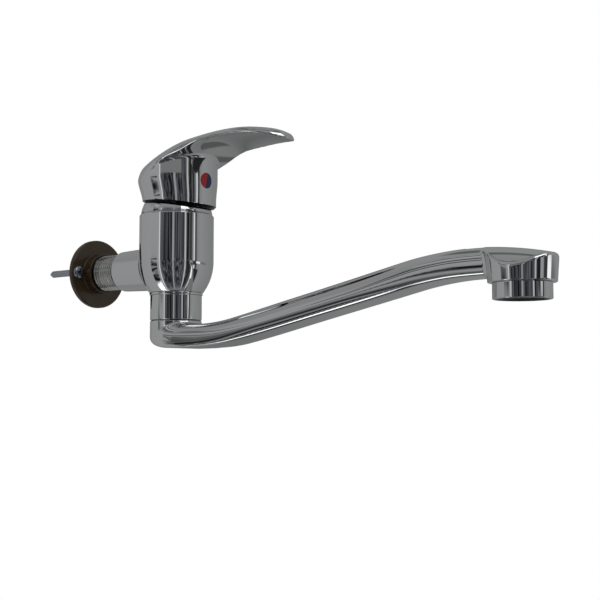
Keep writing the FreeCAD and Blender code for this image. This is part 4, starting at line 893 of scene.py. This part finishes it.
def coverOutline():
    c = cover
    ball = []
    for height in np.linspace(c["ballEnd"], c["foot"], c["ballSteps"] + 1):
        ball.append((math.sqrt(c["ball"] ** 2 - (height - c["pivot"]) ** 2), height, 0))
    inside, foot = ball[0][0] - c["wall"], ball[-1][0] - c["footStep"]
    flat, ceiling = inside - c["shoulder"], c["top"] - c["wall"]
    return [(foot - c["wall"], c["foot"], 0), (inside, c["ballEnd"] - c["shoulder"], 0), (flat, ceiling, 0),
            (c["opening"], ceiling, 0), (c["opening"], c["top"], 0), (flat, c["top"], 0),
            (inside, c["top"] - c["topFall"], 0)] + ball[:-1] + [(foot, c["foot"], 0)]


addPiece("domeCover", latheMesh(coverOutline()), "tap", "dome_cover")

# The neck ring and the collar nut under the body
collar = {"ring": 14.95, "ringLow": -16.2, "ringHigh": -14.9, "ringRound": 0.3, "nut": 14.5,
          "nutRound": 0.35, "low": -30.3, "lowRound": 0.45, "bore": 11.95, "lip": 9.3, "lipHeight": 1.8,
          "paintedShadeDepth": 0.25}


def ringOutline():
    c = collar
    return [(c["ring"], c["ringHigh"], c["ringRound"]), (c["ring"], c["ringLow"], c["ringRound"]),
            (c["bore"], c["ringLow"], 0), (c["bore"], c["ringHigh"], 0)]


def nutOutline():
    c = collar
    lipTop = c["low"] + c["lipHeight"]
    return [(c["lip"], lipTop, 0), (c["bore"], lipTop, 0), (c["bore"], c["ringLow"], 0),
            (c["nut"], c["ringLow"], c["nutRound"]), (c["nut"], c["low"], c["lowRound"]),
            (c["lip"], c["low"], 0)]


# painted shade: the underside of the nut, over the spout's base, is painted nearly black
def nutPaintedShade(u, y, z):
    return collar["low"] - z + collar["paintedShadeDepth"]


addPiece("neckRing", latheMesh(ringOutline()), "tap", "neck_ring")
addPiece("collarNut", latheMesh(nutOutline()), "tap", "collar_nut", nutPaintedShade)

# The aerator's ring in the outlet head, countersunk at its mouth
outlet = {"radius": 13.1, "low": -28.1, "high": -20.8, "highRound": 0.35, "chamfer": 0.8, "lip": 9.8,
          "lipHeight": 1.1, "mouth": 12.1, "mouthRound": 0.15, "thread": 11.8, "threadTop": -14.4,
          "threadRound": 0.2, "bore": 10.6, "paintedShadeMargin": 0.3}


def outletOutline():
    o = outlet
    lipTop = o["low"] + o["lipHeight"]
    return [(o["lip"], lipTop, 0), (o["bore"], lipTop, 0), (o["bore"], o["threadTop"], 0),
            (o["thread"], o["threadTop"], o["threadRound"]), (o["thread"], o["high"], 0),
            (o["radius"], o["high"], o["highRound"]), (o["radius"], o["low"], o["chamfer"]),
            (o["mouth"], o["low"], o["mouthRound"])]


# painted shade: the countersunk mouth of the ring is painted nearly black
def outletPaintedShade(u, y, z):
    return outlet["mouth"] + outlet["paintedShadeMargin"] - np.hypot(u - spout["axis"], y)


outletAxis = wallToAxis + spout["axis"]
addPiece("outletRing", latheMesh(outletOutline(), outletAxis), "spout", "aerator_housing", outletPaintedShade)
print("turned pieces done")


def newTree(name, sizes, places=()):
    # a tree whose inputs are a mesh, sizes, places and the material, and its input sockets
    tree = bpy.data.node_groups.new(name, "GeometryNodeTree")
    inputs = [("Geometry", "Geometry")] + [(label, "Float") for label in sizes]
    inputs += [(label, "Vector") for label in places] + [("Material", "Material")]
    for label, kind in inputs:
        tree.interface.new_socket(label, in_out="INPUT", socket_type="NodeSocket" + kind)
    tree.interface.new_socket("Geometry", in_out="OUTPUT", socket_type="NodeSocketGeometry")
    return tree, addNode(tree, "NodeGroupInput").outputs


def closeTree(tree, last, given):
    real = addNode(tree, "GeometryNodeRealizeInstances", {}, {0: last})
    skin = addNode(tree, "GeometryNodeSetMaterial", {}, {0: real, "Material": given["Material"]})
    addNode(tree, "NodeGroupOutput", {}, {0: skin})
    return tree


def grown(mesh, tree, node, lengths, counts=None):
    # the tree run on a mesh, as a plain mesh of its own
    carrier = addObject("growing", mesh)
    modifier = carrier.modifiers.new("growth", "NODES")
    modifier.node_group = tree
    values = {label: (np.array(length) * mm).tolist() for label, length in lengths.items()}
    values.update(counts or {}, Material=finishOf[slotOf[node]])
    for item in tree.interface.items_tree:
        if item.in_out == "INPUT" and item.name in values:
            modifier[item.identifier] = values[item.name]
    result = bpy.data.meshes.new_from_object(carrier.evaluated_get(bpy.context.evaluated_depsgraph_get()))
    carrier.modifiers.remove(modifier)
    bpy.data.objects.remove(carrier)
    result.polygons.foreach_set("use_smooth", [True] * len(result.polygons))
    result.update()
    result.set_sharp_from_angle(angle=math.radians(turning["sharp"]))
    return result


# Flange screws: one domed crosshead screw, cut once and set out twice
screw = {"shank": 2.0, "end": -22.0, "tip": 2.0, "tipShare": 0.5, "head": 3.7, "face": 4.9, "seat": 3.0,
         "brim": 0.5, "dome": 0.72, "domeSteps": 8, "sides": 48, "spacing": 32.0, "crossWidth": 1.1,
         "crossSpan": 4.4, "crossDepth": 1.2}


def screwBlank():
    s = screw
    outline = [(s["shank"] * s["tipShare"], s["end"]), (s["shank"], s["end"] + s["tip"]),
               (s["shank"], s["seat"]), (s["head"], s["seat"])]
    for step in range(s["domeSteps"]):
        angle = math.pi / 2 * step / s["domeSteps"]
        outline.append((s["head"] * (1 - s["dome"] + s["dome"] * math.cos(angle)),
                        s["seat"] + s["brim"] + (s["face"] - s["seat"] - s["brim"]) * math.sin(angle)))
    points = [(s["end"], 0, 0), (s["face"], 0, 0)]
    faces = []
    sides, size = s["sides"], len(outline)
    for side in range(sides):
        angle = 2 * math.pi * side / sides
        points += [(h, r * math.cos(angle), r * math.sin(angle)) for r, h in outline]
        a, b = 2 + side * size, 2 + (side + 1) % sides * size
        faces += [(0, b, a), (1, a + size - 1, b + size - 1)]
        faces += [(a + i, b + i, b + i + 1, a + i + 1) for i in range(size - 1)]
    return cleaned(newMesh(points, faces))


def screwTree():
    tree, given = newTree("crossheadScrews", ("Spacing", "Face", "Cross Width", "Cross Span", "Cross Depth"))
    deep = addNode(tree, "ShaderNodeMath", {"operation": "MULTIPLY", 1: 2.0}, {0: given["Cross Depth"]})
    blades = []
    for first, second in (("Cross Span", "Cross Width"), ("Cross Width", "Cross Span")):
        size = addNode(tree, "ShaderNodeCombineXYZ", {}, {0: deep, 1: given[first], 2: given[second]})
        blades.append(addNode(tree, "GeometryNodeMeshCube", {}, {"Size": size}))
    cross = addNode(tree, "GeometryNodeMeshBoolean", {"operation": "UNION"}, {1: blades})
    face = addNode(tree, "ShaderNodeCombineXYZ", {}, {0: given["Face"]})
    placed = addNode(tree, "GeometryNodeTransform", {}, {0: cross, "Translation": face})
    cut = addNode(tree, "GeometryNodeMeshBoolean", {"operation": "DIFFERENCE"}, {
        0: given["Geometry"], 1: placed})
    gap = addNode(tree, "ShaderNodeCombineXYZ", {}, {1: given["Spacing"]})
    start = addNode(tree, "ShaderNodeVectorMath", {"operation": "SCALE", "Scale": -0.5}, {0: gap})
    row = addNode(tree, "GeometryNodeMeshLine", {"Count": 2}, {"Offset": gap, "Start Location": start})
    pair = addNode(tree, "GeometryNodeInstanceOnPoints", {}, {"Points": row, "Instance": cut})
    return closeTree(tree, pair, given)


addPiece("flangeScrews", grown(screwBlank(), screwTree(), "flange_screws", {
    "Spacing": screw["spacing"], "Face": screw["face"], "Cross Width": screw["crossWidth"],
    "Cross Span": screw["crossSpan"], "Cross Depth": screw["crossDepth"]}), "tap", "flange_screws")

# The threaded nipple: its core is turned, and the thread's ridge is swept along a helix that
# starts a little past the core's step and sinks a little into it
nipple = {"tail": -12.0, "tailRound": 0.8, "end": 40.3, "endRound": 0.6, "radius": 10.478, "waist": 10.078,
          "bore": 7.2, "boreRound": 0.3, "threadStart": 8.9, "threadEnd": 26.9, "threadRound": 0.2,
          "step": 0.2, "endSlope": 1.0, "wallStep": 0.01, "pitch": 1.814, "rootRadius": 9.35,
          "ridgeFoot": 1.62, "ridgeCrest": 0.42, "sunk": 0.25, "lead": 0.85, "runOut": 1.9, "turnPoints": 72}


def coreOutline():
    n = nipple
    return [(n["bore"], n["tail"], n["boreRound"]), (n["bore"], n["end"], n["boreRound"]),
            (n["radius"], n["end"], n["endRound"]), (n["radius"], n["threadEnd"], n["threadRound"]),
            (n["rootRadius"], n["threadEnd"] - n["endSlope"], 0), (n["rootRadius"], n["threadStart"], 0),
            (n["waist"], n["threadStart"] - n["step"], 0), (n["waist"], 0, 0),
            (n["radius"], -n["wallStep"], 0), (n["radius"], n["tail"], n["tailRound"])]


def threadTree():
    tree, given = newTree("pipeThread", ("Pitch", "Turns", "Radius", "Depth", "Ridge Foot", "Ridge Crest",
                                         "Start"))
    height = addNode(tree, "ShaderNodeMath", {"operation": "MULTIPLY"}, {
        0: given["Pitch"], 1: given["Turns"]})
    helix = addNode(tree, "GeometryNodeCurveSpiral", {"Resolution": nipple["turnPoints"]}, {
        "Rotations": given["Turns"], "Start Radius": given["Radius"], "End Radius": given["Radius"],
        "Height": height})
    upright = addNode(tree, "GeometryNodeSetCurveNormal", {"mode": "Z_UP"}, {0: helix})
    ridge = addNode(tree, "GeometryNodeCurvePrimitiveQuadrilateral", {"mode": "TRAPEZOID", "Offset": 0}, {
        "Height": given["Depth"], "Bottom Width": given["Ridge Foot"], "Top Width": given["Ridge Crest"]})
    turned = addNode(tree, "GeometryNodeTransform", {"Rotation": (0, 0, math.pi / 2)}, {0: ridge})
    swept = addNode(tree, "GeometryNodeCurveToMesh", {"Fill Caps": True}, {0: upright, 1: turned})
    shift = addNode(tree, "ShaderNodeCombineXYZ", {}, {0: given["Start"]})
    laid = addNode(tree, "GeometryNodeTransform", {"Rotation": (0, math.pi / 2, 0)}, {
        0: swept, "Translation": shift})
    both = addNode(tree, "GeometryNodeJoinGeometry", {}, {0: [laid, given["Geometry"]]})
    return closeTree(tree, both, given)


def threadedNipple():
    n = nipple
    depth = n["radius"] - n["rootRadius"] + n["sunk"]
    return grown(latheMesh(coreOutline(), alongX=True), threadTree(), "inlet_nipple", {
        "Pitch": n["pitch"], "Radius": n["radius"] - depth / 2, "Depth": depth,
        "Ridge Foot": n["ridgeFoot"], "Ridge Crest": n["ridgeCrest"], "Start": n["threadStart"] + n["lead"],
    }, {"Turns": (n["threadEnd"] - n["threadStart"] - n["runOut"]) / n["pitch"]})


addPiece("threadedNipple", threadedNipple(), "tap", "inlet_nipple")

# The flow former is a drum with a honeycomb of water cells
former = {"radius": 10.55, "low": -27.0, "height": 10.8, "sides": 96, "cell": 1.15, "pitch": 2.75,
          "rings": 3, "cellDepth": 7.0}


def cellPoints():
    pitch, rings = former["pitch"], former["rings"]
    places = []
    for row in range(-rings, rings + 1):
        for column in range(-rings, rings + 1):
            if abs(row + column) <= rings:
                places.append((outletAxis + pitch * (column + row / 2), pitch * row * math.sqrt(3) / 2,
                               former["low"]))
    return newMesh(places, [])


def formerTree():
    tree, given = newTree("honeycombDrum", ("Radius", "Height", "Cell Radius", "Cell Depth"), ("Centre",))
    drum = addNode(tree, "GeometryNodeMeshCylinder", {"Vertices": former["sides"]}, {
        "Radius": given["Radius"], "Depth": given["Height"]})
    stood = addNode(tree, "GeometryNodeTransform", {}, {0: drum, "Translation": given["Centre"]})
    both = addNode(tree, "ShaderNodeMath", {"operation": "MULTIPLY", 1: 2.0}, {0: given["Cell Depth"]})
    prism = addNode(tree, "GeometryNodeMeshCylinder", {"Vertices": 6}, {
        "Radius": given["Cell Radius"], "Depth": both})
    cells = addNode(tree, "GeometryNodeInstanceOnPoints", {}, {
        "Points": given["Geometry"], "Instance": prism})
    real = addNode(tree, "GeometryNodeRealizeInstances", {}, {0: cells})
    cut = addNode(tree, "GeometryNodeMeshBoolean", {"operation": "DIFFERENCE"}, {0: stood, 1: real})
    return closeTree(tree, cut, given)


addPiece("flowFormer", grown(cellPoints(), formerTree(), "aerator_insert", {
    "Radius": former["radius"], "Height": former["height"], "Cell Radius": former["cell"],
    "Cell Depth": former["cellDepth"], "Centre": (outletAxis, 0, former["low"] + former["height"] / 2),
}), "spout", "aerator_insert")
print("repeating pieces done")
